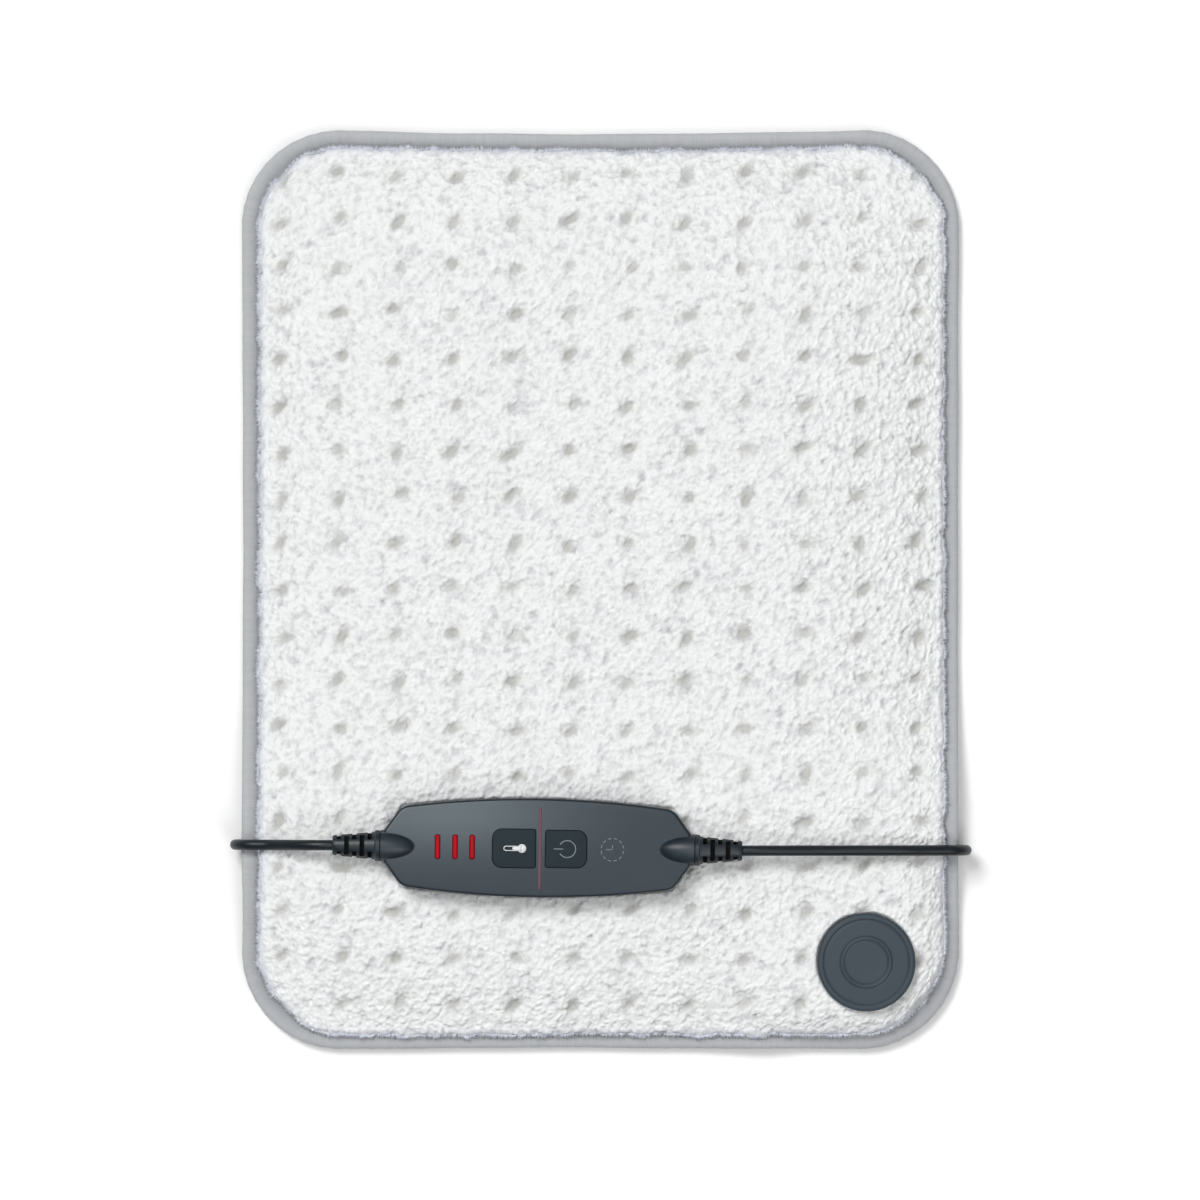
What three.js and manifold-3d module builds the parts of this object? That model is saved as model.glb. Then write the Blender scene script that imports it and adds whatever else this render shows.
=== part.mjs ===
// An electric heating pad with its hand controller, lying over its own coiled mains lead.
// Millimetres, +Z up: X runs across the pad, Y along it, and the origin is on the surface
// that the pad lies on, under the middle of the pad.
import * as THREE from 'three';
import { mergeVertices } from 'three/addons/utils/BufferGeometryUtils.js';
import Module from 'manifold-3d';

const wasm = await Module();
wasm.setup();

// Driving dimensions: the clearances that the pieces share
const layerGap = 0.3;
const fitGap = 0.3;
const surfaceGap = 0.05;
const discPocketGap = 1;
const joinOverlap = 0.5;
const cutPast = 1;

// Driving dimensions: the pad
const padLength = 400;
const padWidth = 312;
const padCornerRadius = 42.5;
const sideDrawIn = 0.3;
const topDrawIn = 1.8;
const bottomDrawIn = 0.4;
const bindingWidth = 7;
const bindingTape = 0.7;
const bindingRound = 1.6;
const bindingFold = 0.7;
const seamMargin = 3;
const coverSeam = 1;
const rearCoverThickness = 1.8;
const paddingSeam = 0.4;
const rearPaddingThickness = 1.6;
const frontPaddingThickness = 1.6;
const carrierSeam = 0.3;
const carrierThickness = 0.6;
const frontPileThickness = 4;
const rollWidth = 22;
const domeRamp = 32;
const innerLayerInset = 13;
const plugLiftMargin = 20;
const plugLiftRamp = 40;
const turnLiftReach = 22;
const turnLiftRamp = 36;
const connectorLiftMargin = 20;
const connectorLiftRamp = 22;
const gridCells = { x: 6, y: 8 };

// Driving dimensions: the welded hollows of the front cover
const tuftColumns = 12;
const tuftRows = 19;
const tuftMarginX = 17.4;
const tuftMarginY = 19.5;
const tuftDepth = 2.4;

// Driving dimensions: the heating wire and its cut-out
const wireDiameter = 1.2;
const wireClearance = 0.4;
const wireRuns = 10;
const wireTop = 117;
const wireMargin = 8;
const wireTurnRadius = 9;
const wireStep = 5;
const wireStart = { x: 2, y: 1 };
const wireLeadIn = { x: 6, y: 8 };
const wireLeadOut = { x: 6, y: 14 };
const wireEase = 2;
const cutoutSize = { x: 14, y: 6, z: 2.6 };
const wirePitch = (2 * wireTop) / (wireRuns - 1);
const cutoutPlace = { x: -60, y: wireTop - wirePitch * (Math.floor(wireRuns / 2) - 0.5) };

// Driving dimensions: the round connector in the corner
const connectorInset = { x: 40.4, y: 37.9 };
const connectorPlace = { x: padWidth / 2 - connectorInset.x, y: connectorInset.y - padLength / 2 };
const discRadius = 21.35;
const discThickness = 4.6;
const discEdgeRound = 1.3;
const discFoot = 0.7;
const discPress = 2.5;
const discRimRadius = 18.6;
const discRingRadii = [11.4, 9.4];
const discGroove = 0.5;
const hubRadius = 12;
const hubCavityRadius = 6;
const hubCeiling = 1.2;
const connectorBaseRadius = 19;
const connectorBaseHeight = 6.6;
const connectorBaseEdge = 1.2;
const connectorSpoutLength = 8;
const connectorSpoutRadius = 3.1;
const connectorSpoutTaper = 0.3;
const connectorSpoutRoot = 3;
const connectorScrewCircle = 9.3;
const connectorScrewReach = 6;
const connectorScrewRadius = 1.1;
const connectorScrewHead = { radius: 2.4, low: 0.2, high: 1.8 };
const bladeSize = { x: 0.8, y: 5, z: 6 };
const bladeSpacing = 5;

// Driving dimensions: the controller
const controllerPlace = { x: -27.4, y: -112.2 };
const controllerTurn = THREE.MathUtils.degToRad(-0.8);
const controllerPress = 1.2;
const caseTip = 66.5;
const caseTipHalfWidth = 6.9;
const caseShoulder = 58.8;
const caseShoulderHalfWidth = 17.7;
const caseHalfWidth = 21.5;
const caseCornerRadius = 5;
const caseHeight = 14.6;
const caseEdgeRound = 1.4;
const caseWall = 2;
const partingHeight = 11;
const humpRadius = 6.9;
const humpProud = 1.6;
const humpLength = 17.6;
const humpFullness = 2.2;
const buttonProud = 0.5;
const buttonTravel = 0.6;
const buttonFlange = 1.2;
const buttonFlangeThickness = 0.9;
const buttonStemRadius = 2;
const buttonStemLength = 0.5;
const buttonEdge = 0.5;
const buttonDivide = 1.4;
const buttonSpacing = 4.1;
const temperatureButtonSize = { width: 18.9, height: 16.9 };
const powerButtonSize = { width: 18.1, height: 16.3 };
const buttonRow = -0.3;
const buttonOuterCorner = 4.2;
const buttonInnerCorner = 1;
const lightPlaces = [-43.3, -35.7, -28.3];
const lightWidth = 2.35;
const lightLength = 10.6;
const lightProud = 0.15;
const guideMargin = { x: 1.2, y: 0.8 };
const guideLeg = { x: 2, y: 3 };
const diodeSize = { x: 3.2, y: 1.6, z: 1.1 };
const caseScrewInset = { x: 12.8, y: 7.2 };
const caseScrewPlace = { x: caseShoulder - caseScrewInset.x, y: caseShoulderHalfWidth - caseScrewInset.y };
const caseScrewRadius = 1.3;
const caseScrewHeadRadius = 2.6;
const caseScrewHeadHeight = 1.8;
const caseScrewTipGap = 1;
const casePostHeight = 6.2;
const casePostRadius = 3.6;
const bossRadius = 3.2;
const boardRest = 5;
const boardThickness = 1.6;
const boardEndGap = 5.8;
const boardEdgeGap = 1;
const boardPostRadius = 2;
const switchSize = 6;
const plungerRadius = 1.6;
const plungerProud = 0.8;
const boardPartGap = 1.75;
const microcontrollerSize = { x: 10, y: 6, z: 1.5 };
const microcontrollerRow = -10;
const triacSize = { x: 10.5, y: 4.5 };
const triacRow = 6.25;
const triacHeadGap = 1;
const capacitorLength = 11;
const capacitorRow = -2;
const capacitorHeadGap = 0.6;
const fuseLength = 12;
const fuseRow = 12;
const fuseHeadGap = 1;
const terminalSize = { x: 8, y: 8 };
const terminalHeadGap = 1.2;
const coreLength = 7.2;
const coreRadius = 0.9;
const coreSpread = 4;

// Driving dimensions: the boots, the cord, its coil, tie and plug
const cordDiameter = 4.6;
const leadTurnHeight = 11.9;
const mainsLeadPlace = -111;
const padLeadPlace = -113.4;
const bootLength = 20.6;
const bootLip = 1;
const bootLipRound = 0.7;
const bootBaseRadius = 6.7;
const bootTipRadius = 4.3;
const bootNeckRadius = 4;
const bootFlangeRadius = 5.2;
const bootFlangeThickness = 2.4;
const bootCollar = 2.3;
const bootSlotWidth = 1.2;
const bootWindowWidth = 1.7;
const bootSlotPitch = 6.3;
const bootSlots = 3;
const bootCoreRadius = 2.9;
const coilPlace = { x: -12, y: 40.5 };
const coilRadius = 39.5;
const coilTurnGap = 0.5;
const coilTurns = 8.25;
const tieThickness = 0.6;
const tieGap = 0.2;
const tieWidth = 9;
const plugAhead = 34;
const plugWidth = 35.3;
const plugThickness = 13.7;
const plugReliefLength = 15;
const plugBodyLength = 36;
const plugFaceRound = 0.8;
const plugRibs = 4;
const plugRibStep = 0.35;
const plugRibLip = 0.3;
const plugRibGroove = 1.2;
const plugReliefWall = 1;
const plugPinDiameter = 4;
const plugPinLength = 19;
const plugPinSpacing = 18.6;
const plugPinSeat = 5;
const plugPinNose = 1;

// Small shared helpers
const clamp = THREE.MathUtils.clamp;
const mergeDistance = 1e-4;
const farAway = 400;

function smooth(t) {
  const s = clamp(t, 0, 1);
  return s * s * (3 - 2 * s);
}

function toSolid(geometry) {
  const bare = geometry.clone();
  bare.deleteAttribute('normal');
  bare.deleteAttribute('uv');
  const merged = mergeVertices(bare, mergeDistance);
  const corners = merged.index.array;
  const triVerts = [];
  for (let k = 0; k < corners.length; k += 3) {
    const [a, b, c] = [corners[k], corners[k + 1], corners[k + 2]];
    if (a !== b && b !== c && c !== a) triVerts.push(a, b, c);
  }
  const vertProperties = merged.attributes.position.array;
  const mesh = new wasm.Mesh({ numProp: 3, vertProperties, triVerts: Uint32Array.from(triVerts) });
  return new wasm.Manifold(mesh);
}

function toGeometry(solid) {
  const mesh = solid.getMesh();
  const geometry = new THREE.BufferGeometry();
  geometry.setAttribute('position', new THREE.BufferAttribute(Float32Array.from(mesh.vertProperties), 3));
  geometry.setIndex(new THREE.BufferAttribute(Uint32Array.from(mesh.triVerts), 1));
  geometry.computeVertexNormals();
  return geometry;
}

function finish(color, roughness, metalness = 0) {
  return { color, roughness, metalness };
}

function place(group, name, solid, look) {
  const mesh = new THREE.Mesh(toGeometry(solid), new THREE.MeshStandardMaterial(look));
  mesh.name = name;
  group.add(mesh);
}

function block(x0, x1, y0, y1, z0, z1) {
  const box = new THREE.BoxGeometry(x1 - x0, y1 - y0, z1 - z0);
  return toSolid(box.translate((x0 + x1) / 2, (y0 + y1) / 2, (z0 + z1) / 2));
}

function post(x, y, radius, z0, z1, sides = 20) {
  const cylinder = new THREE.CylinderGeometry(radius, radius, z1 - z0, sides);
  return toSolid(cylinder.rotateX(Math.PI / 2).translate(x, y, (z0 + z1) / 2));
}

function prism(loop, z0, z1) {
  const body = new THREE.ExtrudeGeometry(new THREE.Shape(loop), { depth: z1 - z0, bevelEnabled: false });
  return toSolid(body.translate(0, 0, z0));
}

// A solid of revolution about X: the profile holds [x, radius] pairs from low x to high, and ends on the axis
function turnedAlongX(profile, sides) {
  const points = profile.map(([x, radius]) => new THREE.Vector2(radius, x));
  return toSolid(new THREE.LatheGeometry(points, sides).rotateZ(-Math.PI / 2));
}

// A solid of revolution about Z: the profile holds [radius, z] pairs, with its outer side rising
function turnedAlongZ(profile, sides) {
  const points = profile.map(([radius, z]) => new THREE.Vector2(radius, z));
  return toSolid(new THREE.LatheGeometry(points, sides).rotateX(Math.PI / 2));
}

function mirroredInX(solid) {
  const mesh = toGeometry(solid).scale(-1, 1, 1);
  const index = mesh.index.array;
  for (let k = 0; k < index.length; k += 3) [index[k], index[k + 1]] = [index[k + 1], index[k]];
  return toSolid(mesh);
}

// A path that is followed through chosen stations: close together in bends, far apart on straight runs
class StationPath extends THREE.Curve {
  constructor(stations) {
    super();
    this.stations = stations;
  }

  getPointAt(u, target = new THREE.Vector3()) {
    return target.copy(this.stations[Math.round(u * (this.stations.length - 1))]);
  }

  getTangentAt(u, target = new THREE.Vector3()) {
    const last = this.stations.length - 1;
    const k = Math.round(u * last);
    const here = this.stations[k];
    const before = this.stations[Math.max(k - 1, 0)];
    const after = this.stations[Math.min(k + 1, last)];
    const into = here.clone().sub(before).normalize();
    const out = after.clone().sub(here).normalize();
    return target.copy(into.add(out)).normalize();
  }
}

function tube(stations, diameter, sides) {
  const section = new THREE.Shape();
  for (let k = 0; k < sides; k += 1) {
    const angle = (2 * Math.PI * k) / sides;
    const x = (diameter / 2) * Math.cos(angle);
    const y = (diameter / 2) * Math.sin(angle);
    if (k === 0) section.moveTo(x, y);
    else section.lineTo(x, y);
  }
  const extrudePath = new StationPath(stations);
  const settings = { steps: stations.length - 1, extrudePath, bevelEnabled: false };
  return toSolid(new THREE.ExtrudeGeometry(section, settings));
}

const model = new THREE.Group();
const plushWhite = finish(0xeeefef, 0.95);
const feltWhite = finish(0xe4e2dc, 0.95);
const tapeGrey = finish(0xa6a8ab, 0.9);
const slateCase = finish(0x4f575e, 0.45);
const slateDark = finish(0x343c43, 0.4);
const cordBlack = finish(0x24282d, 0.5);
const brightRed = finish(0xa8222f, 0.3);
const steel = finish(0xb9bcc0, 0.35, 1);
const brass = finish(0xc8a24a, 0.35, 1);
const boardGreen = finish(0x2f6b45, 0.6);
const chipBlack = finish(0x1e2022, 0.5);
const partBlue = finish(0x3c5a86, 0.5);

// The layers of the pad from the rear cover up: how far each face lies above the surface, gripped at the
// seam and free in the middle
const rearFace = bindingTape + layerGap;
const above = (face, seam, middle) => ({ seam: face.seam + seam, middle: face.middle + middle });
const rearCoverLow = { seam: rearFace, middle: rearFace };
const rearCoverTop = above(rearCoverLow, coverSeam, rearCoverThickness);
const rearPaddingLow = above(rearCoverTop, layerGap, layerGap);
const rearPaddingTop = above(rearPaddingLow, paddingSeam, rearPaddingThickness);
const carrierLow = above(rearPaddingTop, layerGap, layerGap);
const carrierTop = above(carrierLow, carrierSeam, carrierThickness);
const frontPaddingLow = above(carrierTop, layerGap, wireDiameter + 2 * wireClearance);
const frontPaddingTop = above(frontPaddingLow, paddingSeam, frontPaddingThickness);
const frontCoverLow = above(frontPaddingTop, layerGap, layerGap);
const frontCoverTop = above(frontCoverLow, coverSeam, frontPileThickness);
const bindingTop = frontCoverTop.seam + layerGap + bindingTape;

// How high the pad lies: flat on the surface at its edge, lifted over the coil, the plug,
// the round connector and the two places where a lead turns under the edge
const bandInset = bindingWidth + seamMargin;
const coilPitch = cordDiameter + coilTurnGap;
const lowerTurn = tieThickness + tieGap + cordDiameter / 2;
const upperTurn = lowerTurn + coilPitch;
const coilTop = upperTurn + cordDiameter / 2 + tieGap + tieThickness;
const domeHeight = coilTop + layerGap - rearFace;
const plugAxis = plugThickness / 2 + surfaceGap;
const plugPlace = { x: coilPlace.x + plugAhead, y: coilPlace.y + coilRadius };
const plugMiddle = { x: plugPlace.x + plugReliefLength + plugBodyLength / 2, y: plugPlace.y };
const plugBump = Math.max(plugAxis + plugThickness / 2 + layerGap - rearFace - domeHeight, 0);
const plugLiftFlat = plugBodyLength / 2 + plugLiftMargin;
const connectorLift = connectorBaseHeight + layerGap - rearFace;
const connectorLiftFlat = discRadius + connectorLiftMargin;
const edgeLift = leadTurnHeight - bindingTop / 2;
const leftTurnPlace = { x: bandInset - padWidth / 2, y: mainsLeadPlace };
const rightTurnPlace = { x: padWidth / 2 - bandInset, y: padLeadPlace };

// One within a flat reach of a centre, falling to nothing over a ramp outside it
function plateau(x, y, centre, flat, ramp) {
  return smooth((flat + ramp - Math.hypot(x - centre.x, y - centre.y)) / ramp);
}

function edgeDistance(x, y) {
  const qx = Math.abs(x) - (padWidth / 2 - padCornerRadius);
  const qy = Math.abs(y) - (padLength / 2 - padCornerRadius);
  const outside = Math.hypot(Math.max(qx, 0), Math.max(qy, 0));
  return padCornerRadius - outside - Math.min(Math.max(qx, qy), 0);
}

function floorLift(x, y) {
  const bx = clamp(x, bandInset - padWidth / 2, padWidth / 2 - bandInset);
  const by = clamp(y, bandInset - padLength / 2, padLength / 2 - bandInset);
  const dome = domeHeight * smooth((edgeDistance(bx, by) - bandInset) / domeRamp);
  const overPlug = plugBump * plateau(bx, by, plugMiddle, plugLiftFlat, plugLiftRamp);
  const overLeftTurn = edgeLift * plateau(bx, by, leftTurnPlace, turnLiftReach, turnLiftRamp);
  const overRightTurn = edgeLift * plateau(bx, by, rightTurnPlace, turnLiftReach, turnLiftRamp);
  const free = Math.max(dome + overPlug, overLeftTurn, overRightTurn);
  const atConnector = plateau(bx, by, connectorPlace, connectorLiftFlat, connectorLiftRamp);
  return free + (connectorLift - free) * atConnector;
}

function fullness(x, y) {
  return clamp((edgeDistance(x, y) - bandInset) / (rollWidth - bandInset), 0, 1);
}

// The layers share one coarse grid, so that each lies evenly on the next
const gridOverhang = 2;

function gridLines(half, cells) {
  const inner = half - rollWidth;
  const lines = [-half - gridOverhang, bandInset - half];
  for (let k = 0; k <= cells; k += 1) lines.push(-inner + (2 * inner * k) / cells);
  lines.push(half - bandInset, half + gridOverhang);
  return lines;
}

const gridX = gridLines(padWidth / 2, gridCells.x);
const gridY = gridLines(padLength / 2, gridCells.y);
const fallsOutward = (x, y) => x * y > 0;

function cellOf(lines, value) {
  let k = 0;
  while (k < lines.length - 2 && value > lines[k + 1]) k += 1;
  return k;
}

// The height that the coarse grid's triangles give between their corners
function onGrid(heightAt) {
  return (x, y) => {
    const i = cellOf(gridX, x);
    const j = cellOf(gridY, y);
    const [x0, x1, y0, y1] = [gridX[i], gridX[i + 1], gridY[j], gridY[j + 1]];
    const s = (x - x0) / (x1 - x0);
    const t = (y - y0) / (y1 - y0);
    const [h00, h10] = [heightAt(x0, y0), heightAt(x1, y0)];
    const [h01, h11] = [heightAt(x0, y1), heightAt(x1, y1)];
    if (fallsOutward(x0 + x1, y0 + y1)) {
      if (s + t < 1) return h00 + s * (h10 - h00) + t * (h01 - h00);
      return h11 + (1 - s) * (h01 - h11) + (1 - t) * (h10 - h11);
    }
    if (s > t) return h00 + s * (h10 - h00) + t * (h11 - h10);
    return h00 + t * (h01 - h00) + s * (h11 - h01);
  };
}

const level = (seam, middle) => (x, y) => floorLift(x, y) + seam + (middle - seam) * fullness(x, y);

// A closed slab between two height functions over a rectangle of grid lines. Where pitAt gives a height,
// the upper face of that cell runs down to a point in its middle.
function slab(lowerAt, upperAt, xs, ys, pitAt = () => null) {
  const positions = [];
  const index = [];
  const columns = xs.length;
  const sheet = columns * ys.length;
  for (const heightAt of [lowerAt, upperAt]) {
    for (const y of ys) {
      for (const x of xs) positions.push(x, y, heightAt(x, y));
    }
  }
  const quad = (a, b, c, d) => index.push(a, b, c, a, c, d);
  for (let j = 0; j + 1 < ys.length; j += 1) {
    for (let i = 0; i + 1 < columns; i += 1) {
      const lower = j * columns + i;
      const [a, b, c, d] = [lower, lower + 1, lower + columns + 1, lower + columns];
      const [a2, b2, c2, d2] = [sheet + a, sheet + b, sheet + c, sheet + d];
      const pit = pitAt(i, j);
      const outward = fallsOutward(xs[i] + xs[i + 1], ys[j] + ys[j + 1]);
      if (outward) quad(b, a, d, c);
      else quad(a, d, c, b);
      if (pit !== null) {
        const middle = positions.length / 3;
        positions.push((xs[i] + xs[i + 1]) / 2, (ys[j] + ys[j + 1]) / 2, pit);
        index.push(a2, b2, middle, b2, c2, middle, c2, d2, middle, d2, a2, middle);
      } else if (outward) quad(b2, c2, d2, a2);
      else quad(a2, b2, c2, d2);
    }
  }
  for (let i = 0; i + 1 < columns; i += 1) {
    const far = (ys.length - 1) * columns + i;
    quad(i, i + 1, sheet + i + 1, sheet + i);
    quad(far + 1, far, sheet + far, sheet + far + 1);
  }
  for (let j = 0; j + 1 < ys.length; j += 1) {
    const near = j * columns;
    const far = near + columns - 1;
    quad(near + columns, near, sheet + near, sheet + near + columns);
    quad(far, far + columns, sheet + far + columns, sheet + far);
  }
  const geometry = new THREE.BufferGeometry();
  geometry.setAttribute('position', new THREE.Float32BufferAttribute(positions, 3));
  geometry.setIndex(index);
  return toSolid(geometry);
}

// The pad's outline: round corners, and sides drawn in a little between them
const cornerSteps = 6;
const stopMargin = 1;

function padOutline(inset) {
  const sideX = padWidth / 2 - padCornerRadius;
  const sideY = padLength / 2 - padCornerRadius;
  const radius = padCornerRadius - inset;
  const acrossStops = gridX.filter((x) => Math.abs(x) < sideX - stopMargin);
  const alongStops = gridY.filter((y) => Math.abs(y) < sideY - stopMargin);
  const bowed = (share) => 1 - share * share;
  const points = [];
  const corner = (cx, cy, start) => {
    for (let k = 0; k <= cornerSteps; k += 1) {
      const angle = start + (Math.PI / 2) * (k / cornerSteps);
      points.push(new THREE.Vector2(cx + radius * Math.cos(angle), cy + radius * Math.sin(angle)));
    }
  };
  corner(sideX, -sideY, -Math.PI / 2);
  for (const y of alongStops) {
    points.push(new THREE.Vector2(padWidth / 2 - inset - sideDrawIn * bowed(y / sideY), y));
  }
  corner(sideX, sideY, 0);
  for (const x of acrossStops.toReversed()) {
    points.push(new THREE.Vector2(x, padLength / 2 - inset - topDrawIn * bowed(x / sideX)));
  }
  corner(-sideX, sideY, Math.PI / 2);
  for (const y of alongStops.toReversed()) {
    points.push(new THREE.Vector2(inset + sideDrawIn * bowed(y / sideY) - padWidth / 2, y));
  }
  corner(-sideX, -sideY, Math.PI);
  for (const x of acrossStops) {
    points.push(new THREE.Vector2(x, inset + bottomDrawIn * bowed(x / sideX) - padLength / 2));
  }
  return points;
}

// Layers of the pad, from the rear cover up, each gripped thin at the seam
const padPrism = (inset) => prism(padOutline(inset), -farAway / 4, farAway / 4);
const coverInset = bindingTape + bindingFold + layerGap;
const hubHole = post(connectorPlace.x, connectorPlace.y, hubRadius + fitGap, -farAway / 4, farAway / 4, 18);

function padLayer(lower, upper, inset) {
  const body = slab(level(lower.seam, lower.middle), level(upper.seam, upper.middle), gridX, gridY);
  return body.intersect(padPrism(inset)).subtract(hubHole);
}

place(model, 'rear_cover', padLayer(rearCoverLow, rearCoverTop, coverInset), plushWhite);
place(model, 'rear_padding', padLayer(rearPaddingLow, rearPaddingTop, innerLayerInset), feltWhite);
place(model, 'heating_carrier', padLayer(carrierLow, carrierTop, innerLayerInset), feltWhite);

// The overheat cut-out lies on the carrier, in a pocket of the front padding
const carrierFace = onGrid(level(carrierTop.seam, carrierTop.middle));
const cutoutBase = carrierFace(cutoutPlace.x, cutoutPlace.y) + layerGap;

function cutoutBlock(grow) {
  const { x, y } = cutoutPlace;
  const halfX = cutoutSize.x / 2 + grow;
  const halfY = cutoutSize.y / 2 + grow;
  return block(x - halfX, x + halfX, y - halfY, y + halfY, cutoutBase, cutoutBase + cutoutSize.z + grow);
}

place(model, 'overheat_cutout', cutoutBlock(0), chipBlack);
const frontPadding = padLayer(frontPaddingLow, frontPaddingTop, innerLayerInset);
place(model, 'front_padding', frontPadding.subtract(cutoutBlock(layerGap)), feltWhite);

// The heating wire: one long run up the side, then to and fro across the pad, both ends at the connector.
// Its ends are followed closely, because the carrier slopes there.
function closeSteps(corners, step) {
  const steps = [];
  for (let k = 0; k + 1 < corners.length; k += 1) {
    const [[x0, y0], [x1, y1]] = [corners[k], corners[k + 1]];
    const count = Math.ceil(Math.hypot(x1 - x0, y1 - y0) / step);
    for (let m = 0; m < count; m += 1) {
      steps.push([x0 + ((x1 - x0) * m) / count, y0 + ((y1 - y0) * m) / count]);
    }
  }
  steps.push(corners[corners.length - 1]);
  return steps;
}

function heatingWireRoute() {
  const hubEdge = connectorPlace.y + hubRadius;
  const returnX = gridX[gridX.length - 4];
  const runEnd = returnX - wireMargin - wirePitch / 2;
  const stops = gridX.filter((x) => Math.abs(x) < runEnd - wireEase);
  const sideStops = gridY.filter((y) => Math.abs(y) < wireTop - wireTurnRadius - wireEase);
  const flat = closeSteps([
    [connectorPlace.x + wireStart.x, hubEdge + wireStart.y], [returnX + wireLeadIn.x, hubEdge + wireLeadIn.y],
    [returnX + wireEase / 2, -wireTop - wireTurnRadius], [returnX, -wireTop],
  ], wireStep);
  for (const y of sideStops) flat.push([returnX, y]);
  for (let k = 0; k <= 3; k += 1) {
    const angle = (Math.PI / 2) * (k / 3);
    const x = returnX - wireTurnRadius * (1 - Math.cos(angle));
    flat.push([x, wireTop - wireTurnRadius * (1 - Math.sin(angle))]);
  }
  for (let run = 0; run < wireRuns; run += 1) {
    const y = wireTop - run * wirePitch;
    const heading = run % 2 === 0 ? -1 : 1;
    for (const x of heading < 0 ? stops.toReversed() : stops) flat.push([x, y]);
    if (run + 1 === wireRuns) break;
    for (let k = 0; k <= 4; k += 1) {
      const angle = (Math.PI * k) / 4;
      const x = heading * (runEnd + (wirePitch / 2) * Math.sin(angle));
      flat.push([x, y - (wirePitch / 2) * (1 - Math.cos(angle))]);
    }
  }
  const wireEnd = closeSteps([
    flat[flat.length - 1], [runEnd, -wireTop], [runEnd + wireLeadOut.x, -wireTop - wireEase],
    [returnX - wireEase, hubEdge + wireLeadOut.y], [connectorPlace.x - wireLeadOut.x, hubEdge],
  ], wireStep);
  flat.push(...wireEnd.slice(1));
  const rise = wireClearance + wireDiameter / 2;
  return flat.map(([x, y]) => new THREE.Vector3(x, y, carrierFace(x, y) + rise));
}

place(model, 'heating_wire', tube(heatingWireRoute(), wireDiameter, 4), finish(0xb0622f, 0.4, 0.8));

// The front cover: each welded hollow is a pit in the middle of its own cell of the pile
const tuftPitchX = (padWidth - 2 * tuftMarginX) / (tuftColumns - 1);
const tuftPitchY = (padLength - 2 * tuftMarginY) / (tuftRows - 1);

function pileLines(half, margin, count, pitch) {
  const lines = [-half - gridOverhang];
  for (let k = 0; k <= count; k += 1) lines.push(margin - half + (k - 0.5) * pitch);
  lines.push(half + gridOverhang);
  return lines;
}

const pileX = pileLines(padWidth / 2, tuftMarginX, tuftColumns, tuftPitchX);
const pileY = pileLines(padLength / 2, tuftMarginY, tuftRows, tuftPitchY);
const pileFace = onGrid(level(frontCoverTop.seam, frontCoverTop.middle));

function tuftBottom(i, j) {
  if (i < 1 || i > tuftColumns || j < 1 || j > tuftRows) return null;
  const x = (pileX[i] + pileX[i + 1]) / 2;
  const y = (pileY[j] + pileY[j + 1]) / 2;
  return pileFace(x, y) - tuftDepth * fullness(x, y);
}

// The controller's outline, counter-clockwise: blunt tips, rounded shoulders and bowed long sides
function caseOutline() {
  const shape = new THREE.Shape();
  const slope = new THREE.Vector2(caseShoulder - caseTip, caseShoulderHalfWidth - caseTipHalfWidth);
  slope.normalize();
  const cut = caseCornerRadius * 0.8;
  const from = { x: caseShoulder - slope.x * cut, y: caseShoulderHalfWidth - slope.y * cut };
  const to = { x: caseShoulder - cut, y: caseShoulderHalfWidth + 0.05 * cut };
  const bow = 2 * caseHalfWidth - to.y;
  shape.moveTo(caseTip, -caseTipHalfWidth);
  shape.lineTo(caseTip, caseTipHalfWidth);
  shape.lineTo(from.x, from.y);
  shape.quadraticCurveTo(caseShoulder, caseShoulderHalfWidth, to.x, to.y);
  shape.quadraticCurveTo(0, bow, -to.x, to.y);
  shape.quadraticCurveTo(-caseShoulder, caseShoulderHalfWidth, -from.x, from.y);
  shape.lineTo(-caseTip, caseTipHalfWidth);
  shape.lineTo(-caseTip, -caseTipHalfWidth);
  shape.lineTo(-from.x, -from.y);
  shape.quadraticCurveTo(-caseShoulder, -caseShoulderHalfWidth, -to.x, -to.y);
  shape.quadraticCurveTo(0, -bow, to.x, -to.y);
  shape.quadraticCurveTo(caseShoulder, -caseShoulderHalfWidth, from.x, -from.y);
  return shape.getPoints(4);
}

// A convex loop moved inwards by a distance, or outwards where it is negative
function insetLoop(loop, distance) {
  const count = loop.length;
  const edgeNormal = (a, b) => new THREE.Vector2(a.y - b.y, b.x - a.x).normalize();
  return loop.map((here, k) => {
    const into = edgeNormal(loop[(k + count - 1) % count], here);
    const out = edgeNormal(here, loop[(k + 1) % count]);
    const middle = into.clone().add(out).normalize();
    return here.clone().addScaledVector(middle, distance / middle.dot(into));
  });
}

const caseLoop = caseOutline().filter((p, k, all) => p.distanceTo(all[(k + 1) % all.length]) > 0.01);
const padTopMiddle = domeHeight + frontCoverTop.middle;
const controllerSeat = padTopMiddle - controllerPress;
const seatLoop = insetLoop(caseLoop, -fitGap).map((p) => {
  const turned = p.clone().rotateAround(new THREE.Vector2(), controllerTurn);
  return turned.add(new THREE.Vector2(controllerPlace.x, controllerPlace.y));
});
const discSeat = connectorLift + frontCoverTop.middle - discPress;

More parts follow.
